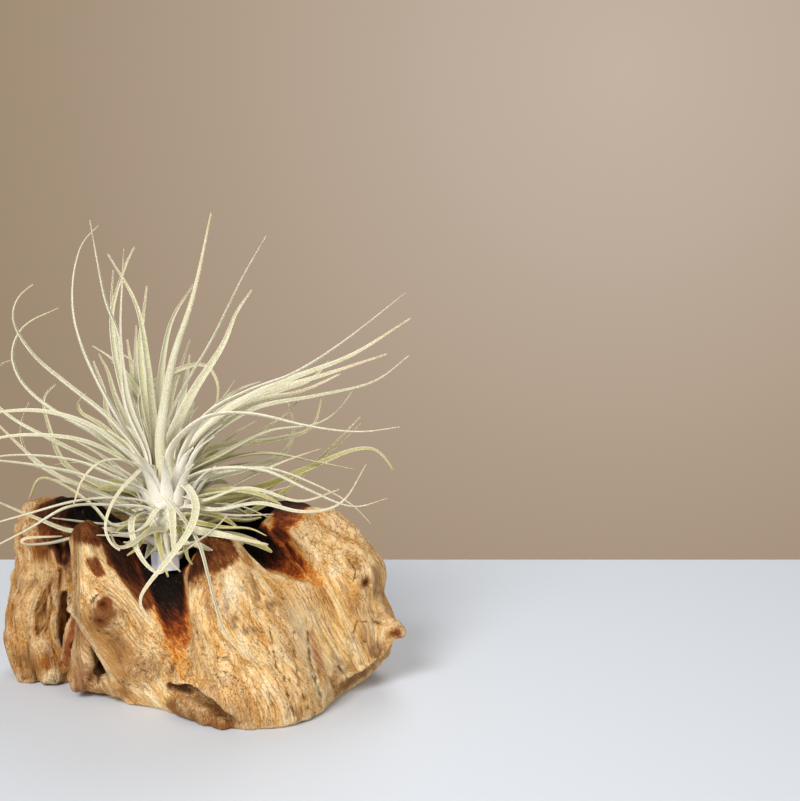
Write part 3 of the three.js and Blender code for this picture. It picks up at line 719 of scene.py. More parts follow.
def mix(amount, *sides):
    first, second = (linear(side) if isinstance(side, str) else side for side in sides)
    return add(tree, "ShaderNodeMix", {FACTOR: amount, FIRST: first, SECOND: second},
               data_type="RGBA").outputs[RESULT]


def layered(colour, layers):
    """Colours laid one over another: for each, how much of it covers what lies below."""
    for amount, colour_above in layers:
        colour = mix(amount, colour, colour_above)
    return colour


def ranged(value, low, high, to_low=0.0, to_high=1.0):
    return add(tree, "ShaderNodeMapRange", {0: value, 1: low, 2: high, 3: to_low, 4: to_high}).outputs[0]


def calculated(operation, first, *others):
    for other in others:
        first = add(tree, "ShaderNodeMath", {0: first, 1: other}, operation=operation).outputs[0]
    return first


def times(*values):
    return calculated("MULTIPLY", *values)


def plus(*values):
    return calculated("ADD", *values)


def either_way(value, by, half=0.2):
    """Noise turned into a number from -by to by, which makes an edge ragged."""
    return ranged(value, 0.5 - half, 0.5 + half, -by, by)


def near_half(value, width):
    """1 where noise crosses its middle value, which is along thin lines, and 0 a little away from there."""
    return ranged(calculated("ABSOLUTE", plus(value, -0.5), 0.0), 0.0, width, 1.0, 0.0)


grain_in = stored("grain", "Vector")
relief_in, worn_in, scorch_in = stored("relief"), stored("worn"), stored("scorch")
place_in = add(tree, "ShaderNodeTexCoord").outputs["Object"]
clumps = noise_of((7, 7, 10), 5.0, 0.65, place_in)
crumbs = noise_of((1.7, 1.7, 1.7), 4.0, 0.7, place_in)
fibres = noise_of((0.8, 0.9, 16), 4.0, 0.7)
lines = noise_of((2.6, 3.4, 70))
grit = noise_of((0.7, 0.7, 1.2), 2.0, 0.7)
flecks = noise_of((1.1, 1.2, 3.6), 2.0)
blotches = noise_of((10, 10, 30), 5.0)
clouds = noise_of((26, 26, 38))
flames = noise_of((2.0, 3.0, 26), 5.0, 0.7)
smooth_bands = noise_of((3.2, 4.5, 55), 4.0)
bands = add(tree, "ShaderNodeMix", {0: ranged(worn_in, 0.3, 1.0, 0.1, 0.75), 2: smooth_bands,
                                    3: clumps}).outputs[0]

dark_line = near_half(lines, 0.013)
pore = times(ranged(flecks, 0.62, 0.67), ranged(clouds, 0.50, 0.60))
crack_here = ranged(plus(stored("crack"), either_way(fibres, 0.15)), 0.12, 0.42, 1.0, 0.0)
stain_and_shade_edge = plus(stored("stain_and_shade", "Alpha"), either_way(fibres, 0.2), either_way(blotches, 0.15, 0.15))
stain_and_shade_cover = ranged(stain_and_shade_edge, 0.22, 0.75, 0.0, 0.98)
free_of_stain_and_shade = ranged(stain_and_shade_cover, 0.0, 1.0, 1.0, 0.0)
bare_wood = layered(ramp(bands, [(0.28, "#CA8C3E"), (0.40, "#E6B060"), (0.50, "#F4CA86"), (0.60, "#FDDBA2"),
                                 (0.74, "#FFEAC0")]), [
    (ranged(worn_in, 0.25, 1.0, 0.0, 0.55), "#B67222"),  # aged where it is worn
    (ranged(clouds, 0.44, 0.62, 0.0, 0.65), "#CA8838"),  # tan clouds
    (ranged(blotches, 0.53, 0.66, 0.0, 0.45), "#B0702E"),  # brown blotches
    (ranged(blotches, 0.45, 0.34, 0.0, 0.6), "#F7DFB0"),  # and cream ones
    (times(ranged(fibres, 0.55, 0.72, 0.0, 0.5), ranged(blotches, 0.42, 0.60, 0.2, 0.9)), "#8E4F1A"),
    (ranged(fibres, 0.44, 0.30, 0.0, 0.45), "#FBEAC4"),  # dark fibres, and pale ones between them
    (times(dark_line, ranged(clouds, 0.40, 0.56, 0.1, 0.85)), "#6E3A14"),
    (times(pore, 0.8), "#5A2E12"),
    # the stains, with the painted shade in the slot, the gaps, the recesses and under the rims
    (stain_and_shade_cover, stored("stain_and_shade", "Color")),
    (ranged(relief_in, 0.0, -0.8, 0.0, 0.68), "#5C300E"),  # painted shade in the dips
    (times(ranged(relief_in, 0.08, 0.6, 0.0, 0.45), free_of_stain_and_shade), "#F6DCAC"),  # ridges painted pale: a painted highlight, and rubbed wear too
    (times(worn_in, ranged(crumbs, 0.50, 0.62), 0.5), "#94581C"),
    (ranged(grit, 0.53, 0.68, 0.0, 0.45), "#7E4C1E"),  # dark grit and pale grit
    (ranged(grit, 0.45, 0.32, 0.0, times(free_of_stain_and_shade, 0.32)), "#FCE9C4"),
    (times(crack_here, 0.62), "#55301A"),
])

flicker = plus(either_way(flames, 0.16), either_way(fibres, 0.08), either_way(blotches, 0.06, 0.15))
heat_here = plus(scorch_in, times(flicker, ranged(scorch_in, 0.0, 0.16)))
by_flame = ramp(heat_here, [(0.12, "#EFBA58"), (0.26, "#E2962E"), (0.38, "#CC7624"), (0.50, "#96481C"),
                            (0.62, "#6C2F15"), (0.76, "#3C1E12"), (0.90, "#21140D"), (1.0, "#17100B")])
by_smoke = ramp(heat_here, [(0.12, "#C99A5E"), (0.28, "#A4713D"), (0.42, "#8A4E22"), (0.56, "#6A381A"),
                            (0.72, "#442212"), (0.88, "#20140D"), (1.0, "#15100C")])
ash_here = times(ranged(flecks, 0.62, 0.72, 0.0, 0.5), ranged(heat_here, 0.7, 0.95))
char = layered(by_smoke, [(stored("flamed"), by_flame), (ash_here, "#6A5C4C")])
coloured = mix(ranged(heat_here, 0.13, 0.44), bare_wood, char)

height_here = plus(
    times(ranged(fibres, 0.3, 0.7), ranged(worn_in, 0.2, 1.0, 0.6, 1.3)),
    times(near_half(lines, 0.03), -1.4),
    times(crumbs, ranged(worn_in, 0.2, 1.0, 0.9, 2.0)),
    times(pore, -1.3),
    times(crack_here, -2.0))
shade(tree, {"Base Color": coloured, "Roughness": 0.64, "Normal": bump(tree, height_here, 0.8, 0.5),
             "Specular IOR Level": ranged(heat_here, 0.3, 0.9, 0.12, 0.08)})
wood.data.materials.clear()
wood.data.materials.append(root_wood)
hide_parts("driftwood")
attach(wood, "root")
print("wood's material has", len(tree.nodes), "nodes")

# %% [markdown]
# The plant is a rosette. Its leaves follow the same lines as the solid's: the ones seen best are listed
# with the height on the stem where they start, how far behind the crown their middle and tip lie, and
# their points as seen from the front, to the right of the crown and above it, all in mm. The rest stand
# a golden angle apart, as on the living plant.

# %% The leaves' lines
CROWN = Vector((-15.6, -6, 120.3))
CLASP_RISE, CLASP_OUT = 0.2, 10.5  # a leaf in front clasps the stem: how much further up, and mm out from it
CLASP_DEPTH = -8  # mm: a leaf is in front if its middle lies further forward than this
READING_DEPTH = 748  # mm from the eye, where the points of the leaves were read
# height on the stem, depth of the middle and of the tip | x z at each point
LEAVES = table("""
; upright
0.78 6 18 | -14 12, -39 55, -51 85, -53 110, -48 132, -38 143
0.62 -18 -40 | -12 14, -24 43, -27 80, -35 102, -43 146
0.81 14 22 | -6 18, -9 44, -11 65, -17 98, -33 127
0.5 -24 -58 | -10 14, -21 45, -26 80, -25 113, -24 130
0.77 16 30 | -12 14, -26 55, -31 91, -24 118, -18 131
0.75 26 46 | -13 16, -27 68, -31 95, -30 118
0.81 22 34 | -6 20, -12 45, -15 73, -13 93, -11 109
0.74 38 70 | -10 20, -17 55, -17 87
0.72 42 78 | -12 22, -18 52, -22 79
0.56 -22 -52 | -4 18, -1 45, 4 70, 15 104, 25 150
0.79 24 44 | -5 22, -4 55, 2 88, 15 110
0.68 -12 -34 | -1 22, 8 48, 26 79, 42 112, 56 137
0.78 16 30 | 2 20, 14 48, 31 75, 39 94, 48 107
0.66 34 40 | -8 16, -15 44, -8 54, 8 63, 22 65, 29 54, 28 42
0.69 30 48 | -3 14, 2 45, 8 64, 13 79
0.66 30 48 | -12 12, -27 42, -33 61, -38 71
0.64 26 42 | -14 10, -32 34, -35 50, -41 67
0.61 12 10 | -14 8, -36 30, -47 37, -50 43, -45 49
; to the left
0.6 -22 -46 | -12 8, -30 32, -54 52, -74 69, -86 88, -84 102, -75 110
0.69 6 10 | -12 3, -40 25, -64 39, -81 54, -87 71, -80 87, -60 97
0.56 -14 -26 | -14 6, -31 22, -49 33, -77 39, -118 35
0.44 -22 -36 | -14 3, -31 15, -52 23, -84 25, -118 18
0.36 -26 -44 | -10 -8, -30 2, -52 11, -84 14, -114 10
0.54 -8 -12 | -12 -8, -33 -2, -57 5, -86 10, -112 12
0.61 10 20 | -12 -4, -34 7, -62 21, -86 34, -100 48, -98 62, -86 68
0.46 -30 -42 | -12 4, -24 11, -37 10, -47 0, -52 -14
0.28 -34 -50 | -10 -13, -30 -10, -52 -12, -78 -19, -110 -28
0.28 -36 -54 | -10 -16, -32 -14, -55 -15, -78 -28, -108 -43
0.28 12 -4 | -10 -27, -32 -29, -53 -29, -72 -22, -97 -11
0.3 20 4 | -10 -25, -34 -25, -64 -21
0.28 15 -2 | -10 -30, -40 -33, -64 -36, -81 -36, -80 -32, -58 -31 ; LOOPED
0.3 30 46 | -12 -20, -34 -10, -59 1, -78 15, -102 39
0.33 36 52 | -12 -18, -38 -8, -60 1, -78 14, -82 30, -77 44
0.38 44 62 | -12 -14, -40 -2, -58 10, -66 30, -69 46, -62 54
0.28 4 12 | -10 -27, -30 -26, -42 -14, -58 -3, -71 1, -77 -11
0.3 28 44 | -12 -20, -34 -8, -56 1, -74 8
; over the front
0.4 -30 -46 | -8 8, -19 1, -29 -11, -34 -25, -31 -35, -26 -39
0.3 -24 -36 | 0 -28, -9 -28, -20 -36, -28 -37, -32 -28
0.38 -24 -26 | -12 -18, -19 -22, -18 -34, -12 -46, -4 -52, 1 -48
0.3 -26 -32 | 3 -16, 4 -30, 5 -41, 11 -39, 19 -33
0.34 -40 -64 | -3 -8, 8 -20, 18 -36, 24 -58, 31 -82, 41 -96, 54 -102
0.44 -36 -40 | 8 -2, 16 -12, 14 -26, 3 -42, -10 -58, -15 -68, -9 -79
0.3 -26 -40 | -4 -16, -12 -26, -22 -30, -34 -28
; to the right
0.62 -16 -36 | 8 10, 22 36, 46 50, 72 60, 100 78, 134 105
0.72 6 4 | 8 10, 24 30, 44 45, 71 57, 104 70, 137 91
0.71 18 28 | 7 9, 24 33, 48 47, 85 58, 124 71
0.7 26 42 | 7 8, 24 31, 50 44, 76 50, 98 60
0.69 34 52 | 6 8, 30 36, 62 50, 80 56, 91 67
0.67 8 8 | 7 6, 24 24, 50 40, 84 47, 116 55, 136 70
0.52 -20 -30 | 2 12, 10 26, 25 36, 48 37, 80 30, 108 27, 131 30
0.62 16 26 | 8 2, 29 13, 57 27, 83 31, 96 39, 105 51
0.59 28 44 | 8 0, 32 13, 54 28, 66 36, 75 46
0.64 24 38 | 8 3, 24 17, 57 22, 81 29, 87 46
0.56 38 56 | 8 -4, 42 6, 64 14, 71 28, 68 44
0.57 22 30 | 8 -3, 29 10, 55 15, 85 10, 106 6
0.52 30 42 | 8 -4, 34 7, 59 11
0.38 -10 -16 | 10 -1, 29 6, 55 5, 80 -6, 104 -15, 124 -10
0.38 34 40 | 9 -14, 50 -5, 80 7, 104 17, 118 17, 127 6
0.33 42 58 | 9 -18, 40 -20, 65 -10, 85 11, 109 36
0.35 50 70 | 9 -16, 36 -12, 62 -2, 89 13, 109 32
0.28 -24 -34 | 9 -9, 20 -12, 40 -5, 54 -6, 75 -12, 97 -5
0.28 -32 -48 | 9 -15, 28 -17, 52 -13, 76 -18, 98 -13, 112 9
0.54 10 16 | 9 -5, 34 4, 58 6, 86 -4, 104 -14, 115 -25
0.28 -12 -18 | 9 -23, 30 -28, 46 -27, 56 -31
0.28 -14 -22 | 8 -27, 30 -31, 57 -36
0.3 -4 -8 | 9 -19, 38 -20, 60 -19
0.28 -26 -38 | 6 -31, 12 -36, 24 -30, 35 -19
0.33 8 6 | 9 -15, 38 -14, 58 -21
; short old ones that hang over the tag
0.24 -15 -16 | 0 -26, 1 -36, 3 -45, 8 -51
0.26 -14 -16 | 5 -24, 10 -34, 12 -43, 18 -48
0.22 -18.5 -21 | -4 -27, -3 -38, -1 -47, 1 -54
0.24 -13 -15 | -9 -26, -13 -33, -16 -38, -22 -42
0.3 -13 -16 | 2 -22, 7 -29, 15 -36, 25 -40
""")
LOOPED = 30  # the number of the listed leaf that loops behind the finger, out over the lobe and back
LOOPED_BACK = [6, 12.5, 12.5, 1.5, 1.5, 10]  # mm that its points lie further back than the crown
GOLDEN_ANGLE = 137.508
REST_COUNT = 32  # leaves of the golden-angle rule
REST = {"height": (0.22, 0.82), "length": (84, 112), "rise": (17, 42), "arch": (14, 40), "fan": (0.78, 0.22)}
REST_STEPS = 6
CUT_SHORT = 4  # points that the first of these keeps, because it ends before the finger
SKIRT_COUNT = 36  # old low leaves
SKIRT_RISE = (-6, 22)
SKIRT_LENGTH = (52, 70)
SKIRT_HEIGHT = (0.06, 0.55)
SKIRT_BENDS = (32, 16, 2, -14, -26)
SHORT_IN_FRONT, SHORT_AT_FINGER = 0.72, 0.45  # the share that such a leaf is shorter there
FINGER_HEADING = 0.1  # radians from straight left
SHEATH_COUNT = 16  # leaf bases round the crown
SHEATH_FAN = 112  # degrees to either side
SHEATH_HEIGHT = (0.3, 0.85)
SHEATH_SHAPE = [(2, -2), (9.5, 4), (12.5, 12), (16, 22), (22, 31), (31, 38)]  # mm out from the stem and up
FRONT_DEPTH = -22  # mm: a listed leaf whose middle lies further forward is slim and pale
KINDS = {  # how wide a leaf is, how early it narrows, how green it is with its painted shade low down, and how dry its tip is
    "front": (0.66, 0.92, 0.2, 1.0),
    "listed": (1.0, 1.08, 0.7, 1.0),
    "rest": (1.0, 1.08, 0.8, 1.0),
    "skirt": (1.5, 0.6, 1.2, 0.8),
    "sheath": (1.3, 1.08, 0.0, 0.3),
}
FRONT_TAPER = 0.55  # how much later the skirt's leaves narrow in front

right = Vector((1, 0, 0))
up = Vector((0, math.sin(EYE_PITCH), math.cos(EYE_PITCH)))
ahead = Vector((0, math.cos(EYE_PITCH), -math.sin(EYE_PITCH)))
crown_sight = CROWN - EYE
crown_depth = crown_sight.dot(ahead)
crown_x, crown_y = (crown_sight.dot(way) * READING_DEPTH / crown_depth for way in (right, up))


def between(ends, part):
    return ends[0] + (ends[1] - ends[0]) * part


def stem_at(height):
    return STEM_FOOT.lerp(STEM_TOP, height) if height <= 1 else STEM_TOP.copy()


def seen_at(point, back):
    """A point as seen from the front, put back along the line of sight to its own depth."""
    sight = READING_DEPTH * ahead + (crown_x + point[0]) * right + (crown_y + point[1]) * up
    return sight * ((crown_depth + back) / READING_DEPTH) + EYE


def drawn(leaf, use):
    """A random number from 0 to 1 for one use on one leaf, the same as the solid's."""
    return (math.sin(leaf * 12.9898 + use * 78.233) * 43758.5453) % 1


def about(leaf, use, width):
    return width * (drawn(leaf, use) - 0.5)


def walked(start, ways, length):
    """A leaf's line from its start in equal steps, each with a heading and a slope."""
    points = [start.copy()]
    for heading, slope in ways:
        level = math.cos(slope)
        way = Vector((math.cos(heading) * level, math.sin(heading) * level, math.sin(slope)))
        points.append(points[-1] + way * (length / len(ways)))
    return points


def listed_line(start, seen):
    height, mid, tip = start
    points = []
    for number, point in enumerate(seen):
        t = (number + 0.6) / (len(seen) - 0.4)
        points.append(seen_at(point, t * (4 * mid - tip) + 2 * t * t * (tip - 2 * mid)))
    if mid < CLASP_DEPTH:
        middle = stem_at(height + CLASP_RISE)
        out = ((points[1] - middle) * Vector((1, 1, 0))).normalized()
        points.insert(0, middle + CLASP_OUT * out)
    return [stem_at(height), *points]


def rest_line(leaf):
    """A leaf of the golden-angle rule, by the same numbers as the solid's."""
    part = leaf / (REST_COUNT - 1)
    around = (leaf * GOLDEN_ANGLE + about(leaf, 2, 16)) % 360 - 180
    turn = math.radians(90 + around * max(REST["fan"][1], REST["fan"][0] - 1.2 * part))
    rise = math.radians(between(REST["rise"], part) + about(leaf, 3, 14))
    arch = math.radians(between(REST["arch"], drawn(leaf, 4)))
    curl = math.radians(about(leaf, 5, 70))
    length = between(REST["length"], min(1, 1.4 * part)) * (1 + about(leaf, 6, 0.24))
    start = stem_at(between(REST["height"], part) + about(leaf, 1, 0.06))
    steps = [(number + 0.5) / REST_STEPS for number in range(REST_STEPS)]
    return walked(start, [(turn + curl * t * t, rise + arch * (0.7 - 1.9 * t)) for t in steps], length)


def skirt_line(number):
    """An old low leaf, broad and blunt, short in front and longer at the sides, which lies on the wood."""
    heading = math.radians(number * GOLDEN_ANGLE + about(number, 12, 10))
    rise = math.radians(between(SKIRT_RISE, drawn(number, 13)))
    to_front = max(0, -math.sin(heading))
    to_finger = max(0, -math.cos(heading - FINGER_HEADING)) ** 8
    length = between(SKIRT_LENGTH, drawn(number, 14))
    length *= (1 - SHORT_IN_FRONT * to_front) * (1 - SHORT_AT_FINGER * to_finger)
    start = stem_at(between(SKIRT_HEIGHT, number / (SKIRT_COUNT - 1)))
    return walked(start, [(heading, rise + math.radians(bend)) for bend in SKIRT_BENDS], length)


def sheath_line(number):
    """A leaf base that wraps the stem in front, a short broad scale that stands off at its tip."""
    part = number / (SHEATH_COUNT - 1)
    turn = math.radians(-90 + SHEATH_FAN * (part - 0.5) * 2 * (-1) ** number)
    out = Vector((math.cos(turn), math.sin(turn), 0))
    foot = stem_at(between(SHEATH_HEIGHT, part))
    return [foot + out * away + Vector((0, 0, rise)) for away, rise in SHEATH_SHAPE]


lines = [listed_line(*row) for row in LEAVES]
lines[LOOPED][1:] = [seen_at(point, back) for point, back in zip(LEAVES[LOOPED][1], LOOPED_BACK)]
lines += [rest_line(leaf) for leaf in range(REST_COUNT)]
del lines[len(LEAVES)][CUT_SHORT:]
lines += [skirt_line(number) for number in range(SKIRT_COUNT)]
lines += [sheath_line(number) for number in range(SHEATH_COUNT)]
kinds = ["front" if start[1] < FRONT_DEPTH else "listed" for start, _ in LEAVES] + ["rest"] * REST_COUNT
kinds += ["skirt"] * SKIRT_COUNT + ["sheath"] * SHEATH_COUNT
widths, tapers, greens_and_shade, dryings = (list(column) for column in zip(*(KINDS[kind] for kind in kinds)))
for number in range(SKIRT_COUNT):
    to_front = max(0, -math.sin(math.radians(number * GOLDEN_ANGLE)))
    tapers[len(LEAVES) + REST_COUNT + number] += FRONT_TAPER * to_front
longest = max((line[-1] - CROWN).length for line in lines)
print(len(lines), "leaves, the longest reaching", round(longest), "mm")

# %% [markdown]
# A leaf may lean on the wood but not enter it. The finished wood is put in a search tree, and any point
# of a leaf that lies too near to it moves straight off its surface. Then each line is smoothed by a
# curve through its points and divided into rings of equal length.

# %% Rings along each leaf, clear of the wood
LEAF_RINGS = 52
LEAF_CLEARANCE = 1.9
STEM_REACH = 14.5  # mm from the stem's middle, inside which a leaf isn't moved
DEEPEST = 9  # mm: no leaf's line lies deeper in the wood than this

wood_faces = [tuple(face.vertices) for face in wood.data.polygons]
wood_surface = BVHTree.FromPolygons([Vector(p) for p in points.tolist()], wood_faces)


def moved_clear(point, clearance):
    flat = Vector((STEM_FOOT.x, STEM_FOOT.y, point.z))
    if (point - flat).length < STEM_REACH and point.z > STEM_FOOT.z:
        return point
    for _ in range(6):
        near, normal, _, away = wood_surface.find_nearest(point)
        outside = (point - near).dot(normal) > 0 or away > DEEPEST
        if outside and away >= clearance:
            break
        point = near + normal * (clearance + 0.05)
    return point


def curve_through(line, fine=16):
    points = np.array([tuple(p) for p in line])
    points = np.vstack([2 * points[0] - points[1], points, 2 * points[-1] - points[-2]])
    t = np.linspace(0, 1, fine, endpoint=False)[:, None]
    pieces = []
    for a, b, c, d in zip(points, points[1:], points[2:], points[3:]):
        start, end = (c - a) / 2, (d - b) / 2
        square, cube = 3 * (c - b) - 2 * start - end, 2 * (b - c) + start + end
        pieces.append(b + start * t + square * t**2 + cube * t**3)
    return np.vstack([*pieces, points[-2]])


def even_rings(line):
    fine = curve_through([moved_clear(p, 2 * LEAF_CLEARANCE) for p in line])
    fine = np.array([moved_clear(Vector(p), LEAF_CLEARANCE) for p in fine])
    run = np.concatenate([[0], np.cumsum(np.linalg.norm(np.diff(fine, axis=0), axis=1))])
    at = np.linspace(0, run[-1], LEAF_RINGS)
    rings = np.stack([np.interp(at, run, fine[:, axis]) for axis in range(3)], 1)
    for _ in range(2):
        rings[1:-1] = (rings[:-2] + 2 * rings[1:-1] + rings[2:]) / 4
    return rings, run[-1]


ringed = [even_rings(line) for line in lines]
print("leaves are", round(min(r[1] for r in ringed)), "to", round(max(r[1] for r in ringed)), "mm long")

# %% [markdown]
# A real leaf is a thin gutter: broad and open where it clasps the stem, folding up and narrowing to a
# thread at its tip. So each ring is an arc with some thickness. The width falls towards the tip, the
# gutter closes, and the leaf turns a little as it goes. One tube is made as a template, copied for
# every leaf, and its points are put where the rings say. One more tube, along the stem, fills the heart
# of the rosette.

# %% Leaves
LEAF_SIDES = 12
BASE_WIDTH, TIP_WIDTH = 8.4, 0.85
FLARE, FLARE_REACH = 1.25, 15.0  # how much wider the clasp is, and over how many mm
FOOT_WIDTH, FOOT_REACH = 0.3, 5.0  # the share of its width that a leaf has where it leaves the stem
THICKNESS = (1.35, 0.45)  # mm at the base and at the tip
FOLD, CLASP_FOLD = (0.75, 1.25), 0.65  # radians that each half of the gutter bends, and more at the clasp
TWIST = 1.3  # radians that a leaf turns at most
LEAF_APART = 17.3  # mm between two leaves in the pattern, so that no two look the same
HEART_RADII = [5.5, 9.5, 13, 12.5, 9, 5]
HEART_LENGTH, HEART_ROUNDING = 49, 14


def section(part, run, slim, taper):
    """A ring's points across and up from its middle, and how far each lies to the side, from -1 to 1."""
    clasp = math.exp(-((run / FLARE_REACH) ** 2))
    width = between((TIP_WIDTH, BASE_WIDTH * slim), (1 - part) ** taper)
    width *= (1 + FLARE * clasp) * min(1, FOOT_WIDTH + run / FOOT_REACH)
    fold = between(FOLD, part) + CLASP_FOLD * clasp
    thick = between(THICKNESS, min(1, part * 1.15)) * (0.6 + 0.4 * slim)
    radius = width / 2 / math.sin(min(fold, 1.5))
    half = LEAF_SIDES // 2
    ring = []
    for side in range(LEAF_SIDES):
        upper = side < half
        across = (2 * side / (half - 1) - 1) if upper else (1 - 2 * (side - half) / (half - 1))
        across = math.sin(across * math.pi / 2)
        body = thick * (0.25 + 0.75 * math.sqrt(max(0, 1 - across * across)))
        away = radius + (-0.5 if upper else 0.5) * body
        turn = across * fold
        ring.append((away * math.sin(turn), radius - away * math.cos(turn), across, upper))
    return ring


def frames_along(points, upright):
    """At each ring its middle and the ways up and across, which turn with the line without a roll."""
    up = Vector(upright)
    made = []
    for number, point in enumerate(points):
        behind, beyond = points[max(number - 1, 0)], points[min(number + 1, len(points) - 1)]
        tangent = Vector(beyond - behind).normalized()
        up = (up - tangent * up.dot(tangent)).normalized()
        made.append((Vector(point), up.copy(), up.cross(tangent)))
    return made


def of_kind(geometry, kind):
    return [item for item in geometry if isinstance(item, kind)]


work = bmesh.new()
ring_layer, side_layer, leaf_layer = (work.verts.layers.int.new(name) for name in ("ring", "side", "leaf"))
first = bmesh.ops.create_circle(work, cap_ends=True, segments=LEAF_SIDES, radius=1)["verts"]
for side, vert in enumerate(first):
    vert[side_layer] = side
edges = work.edges[:]
for ring in range(1, LEAF_RINGS):
    grown = bmesh.ops.extrude_edge_only(work, edges=edges)["geom"]
    for vert in of_kind(grown, bmesh.types.BMVert):
        vert[ring_layer] = ring
    edges = [e for e in of_kind(grown, bmesh.types.BMEdge) if all(v[ring_layer] == ring for v in e.verts)]
bmesh.ops.edgeloop_fill(work, edges=edges)
template = work.verts[:] + work.edges[:] + work.faces[:]
for leaf in range(1, len(ringed) + 1):
    copied = bmesh.ops.duplicate(work, geom=template)["geom"]
    for vert in of_kind(copied, bmesh.types.BMVert):
        vert[leaf_layer] = leaf

placed = []
for leaf, (rings, length) in enumerate(ringed):
    out = Vector(rings[4] - rings[0])
    out.z = 0
    out.normalize()
    start = Vector(rings[2] - rings[0]).normalized()
    upright = Vector((0, 0, 1)) * start.dot(out) - out * start.z
    slim = (0.86 + 0.28 * drawn(leaf, 8)) * widths[leaf]
    twist = about(leaf, 9, TWIST)
    made = []
    for number, (middle, up_here, across_here) in enumerate(frames_along(rings, upright)):
        part = number / (LEAF_RINGS - 1)
        turn = twist * part
        side_way = across_here * math.cos(turn) + up_here * math.sin(turn)
        up_way = up_here * math.cos(turn) - across_here * math.sin(turn)
        for across, rise, side, upper in section(part, part * length, slim, tapers[leaf]):
            spot = middle + side_way * across + up_way * rise
            made.append((spot, side, part * dryings[leaf], upper, across, part * length))
    placed.append(made)
heart = []
for number in range(LEAF_RINGS):
    part = number / (LEAF_RINGS - 1)
    girth = float(np.interp(part, np.linspace(0, 1, len(HEART_RADII)), HEART_RADII))
    end = math.sqrt(max(0.02, min(1, HEART_ROUNDING * part, HEART_ROUNDING * (1 - part))))
    for side in range(LEAF_SIDES):
        turn = 2 * math.pi * side / LEAF_SIDES
        spot = stem_at(part) + Vector((math.cos(turn), math.sin(turn), 0)) * girth * end
        heart.append((spot, 0.0, 0.0, False, turn * girth, part * HEART_LENGTH))
placed.append(heart)
greens_and_shade.append(1.0)  # the heart's

blade, run_of = np.empty((2, len(work.verts), 3))
tone_of = np.empty(len(work.verts))
work.verts.index_update()
for vert in work.verts:
    leaf = vert[leaf_layer]
    spot, side, part, upper, across, run = placed[leaf][vert[ring_layer] * LEAF_SIDES + vert[side_layer]]
    vert.co = spot * MM
    blade[vert.index] = (side, part, upper)
    run_of[vert.index] = (across, LEAF_APART * leaf, run)
    tone_of[vert.index] = drawn(leaf, 7) * greens_and_shade[leaf]
bmesh.ops.recalc_face_normals(work, faces=work.faces)
for face in work.faces:
    face.smooth = True
rosette_mesh = mesh_of(work, "rosette_leaves")
rosette = link("rosette_leaves", rosette_mesh)
give(rosette, "blade", "FLOAT_VECTOR", blade)
give(rosette, "run", "FLOAT_VECTOR", run_of * MM)
give(rosette, "tone", "FLOAT", tone_of)
print("rosette:", len(rosette_mesh.polygons), "faces")

# %% [markdown]
# The leaves are covered with tiny grey scales that drink water from the air. They make the surface
# matt, soft and silvery, almost white where young leaves clasp the stem, and let the green show through
# further out. The gutter is greener than the rims, the tips are dry and straw-coloured, and low down the
# leaves are olive, partly their own colour and partly painted shade. Patterns are sized in mm: scales
# about half a millimetre, and streaks along the leaf.

# %% Silvery leaf
silver_leaf, tree = blank_material("silvery air plant leaf")
side_in, part_in, upper_in = add(tree, "ShaderNodeSeparateXYZ", {0: stored("blade", "Vector")}).outputs
run_in, tone_in = stored("run", "Vector"), stored("tone")
place_in = add(tree, "ShaderNodeTexCoord").outputs["Object"]
height_in = add(tree, "ShaderNodeSeparateXYZ", {0: place_in}).outputs[2]
streaks = noise_of((0.8, 5, 18), source=run_in)
scales = noise_of((0.42, 1, 0.55), 2.0, source=run_in)
patches = noise_of((4, 9, 22), 2.0, source=run_in)

side_square = times(side_in, side_in)
gutter = times(upper_in, ranged(side_square, 0.65, 0.05), ranged(part_in, 0.04, 0.35, 0.15, 0.7))
low = times(ranged(height_in, 0.150, 0.112), ranged(part_in, 0.03, 0.25))
olive_and_painted_shade = times(low, ranged(side_square, 0.8, 0.3, 0.4, 1.0), ranged(tone_in, 0.15, 0.5, 0.05, 1.0))
along_leaf = ramp(plus(part_in, either_way(patches, 0.08)), [
    (0.0, "#F5F0E4"), (0.14, "#EFE9DA"), (0.28, "#DFD8C0"), (0.48, "#D4CCAC"), (0.72, "#D0C8A4"),
    (0.90, "#D2BD94"), (1.0, "#B09060")])
leaf_colour = layered(along_leaf, [
    (times(gutter, ranged(tone_in, 0.0, 0.8, 0.5, 1.0)), "#BAB572"),  # the green gutter
    (ranged(side_square, 0.72, 1.0, 0.0, 0.6), "#F4EDDE"),  # the pale rims
    (olive_and_painted_shade, "#A89C26"),  # the low leaves: olive, partly their own colour and partly painted shade
    (ranged(tone_in, 0.3, 1.0, 0.0, 0.3), "#C8C482"),  # no two leaves are alike
    (times(ranged(streaks, 0.5, 0.72, 0.0, 0.45), ranged(part_in, 0.0, 0.3, 0.2, 1.0)), "#A89F5A"),
    (ranged(scales, 0.48, 0.64, 0.0, ranged(olive_and_painted_shade, 0.0, 1.0, 0.5, 0.22)), "#FAF5EA"),  # scales
    (times(ranged(scales, 0.45, 0.32, 0.0, 0.3), ranged(part_in, 0.0, 0.3, 0.4, 1.0)), "#948C54"),
])
shade(tree, {"Base Color": leaf_colour, "Roughness": 0.72, "Specular IOR Level": 0.2, "Sheen Weight": 0.14,
             "Sheen Roughness": 0.45, "Normal": bump(tree, scales, 0.5, 0.12)})
rosette_mesh.materials.append(silver_leaf)
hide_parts("rosette")
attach(rosette, "root")
print("leaf material has", len(tree.nodes), "nodes")

# %% [markdown]
# A small paper tag is curled round the plant's foot, as growers leave it there. It is a strip of coated
# paper: a flat grid, bent round the stem, thickened and with its edges rounded over. Left bare, it
# shows only its slightly creased surface.

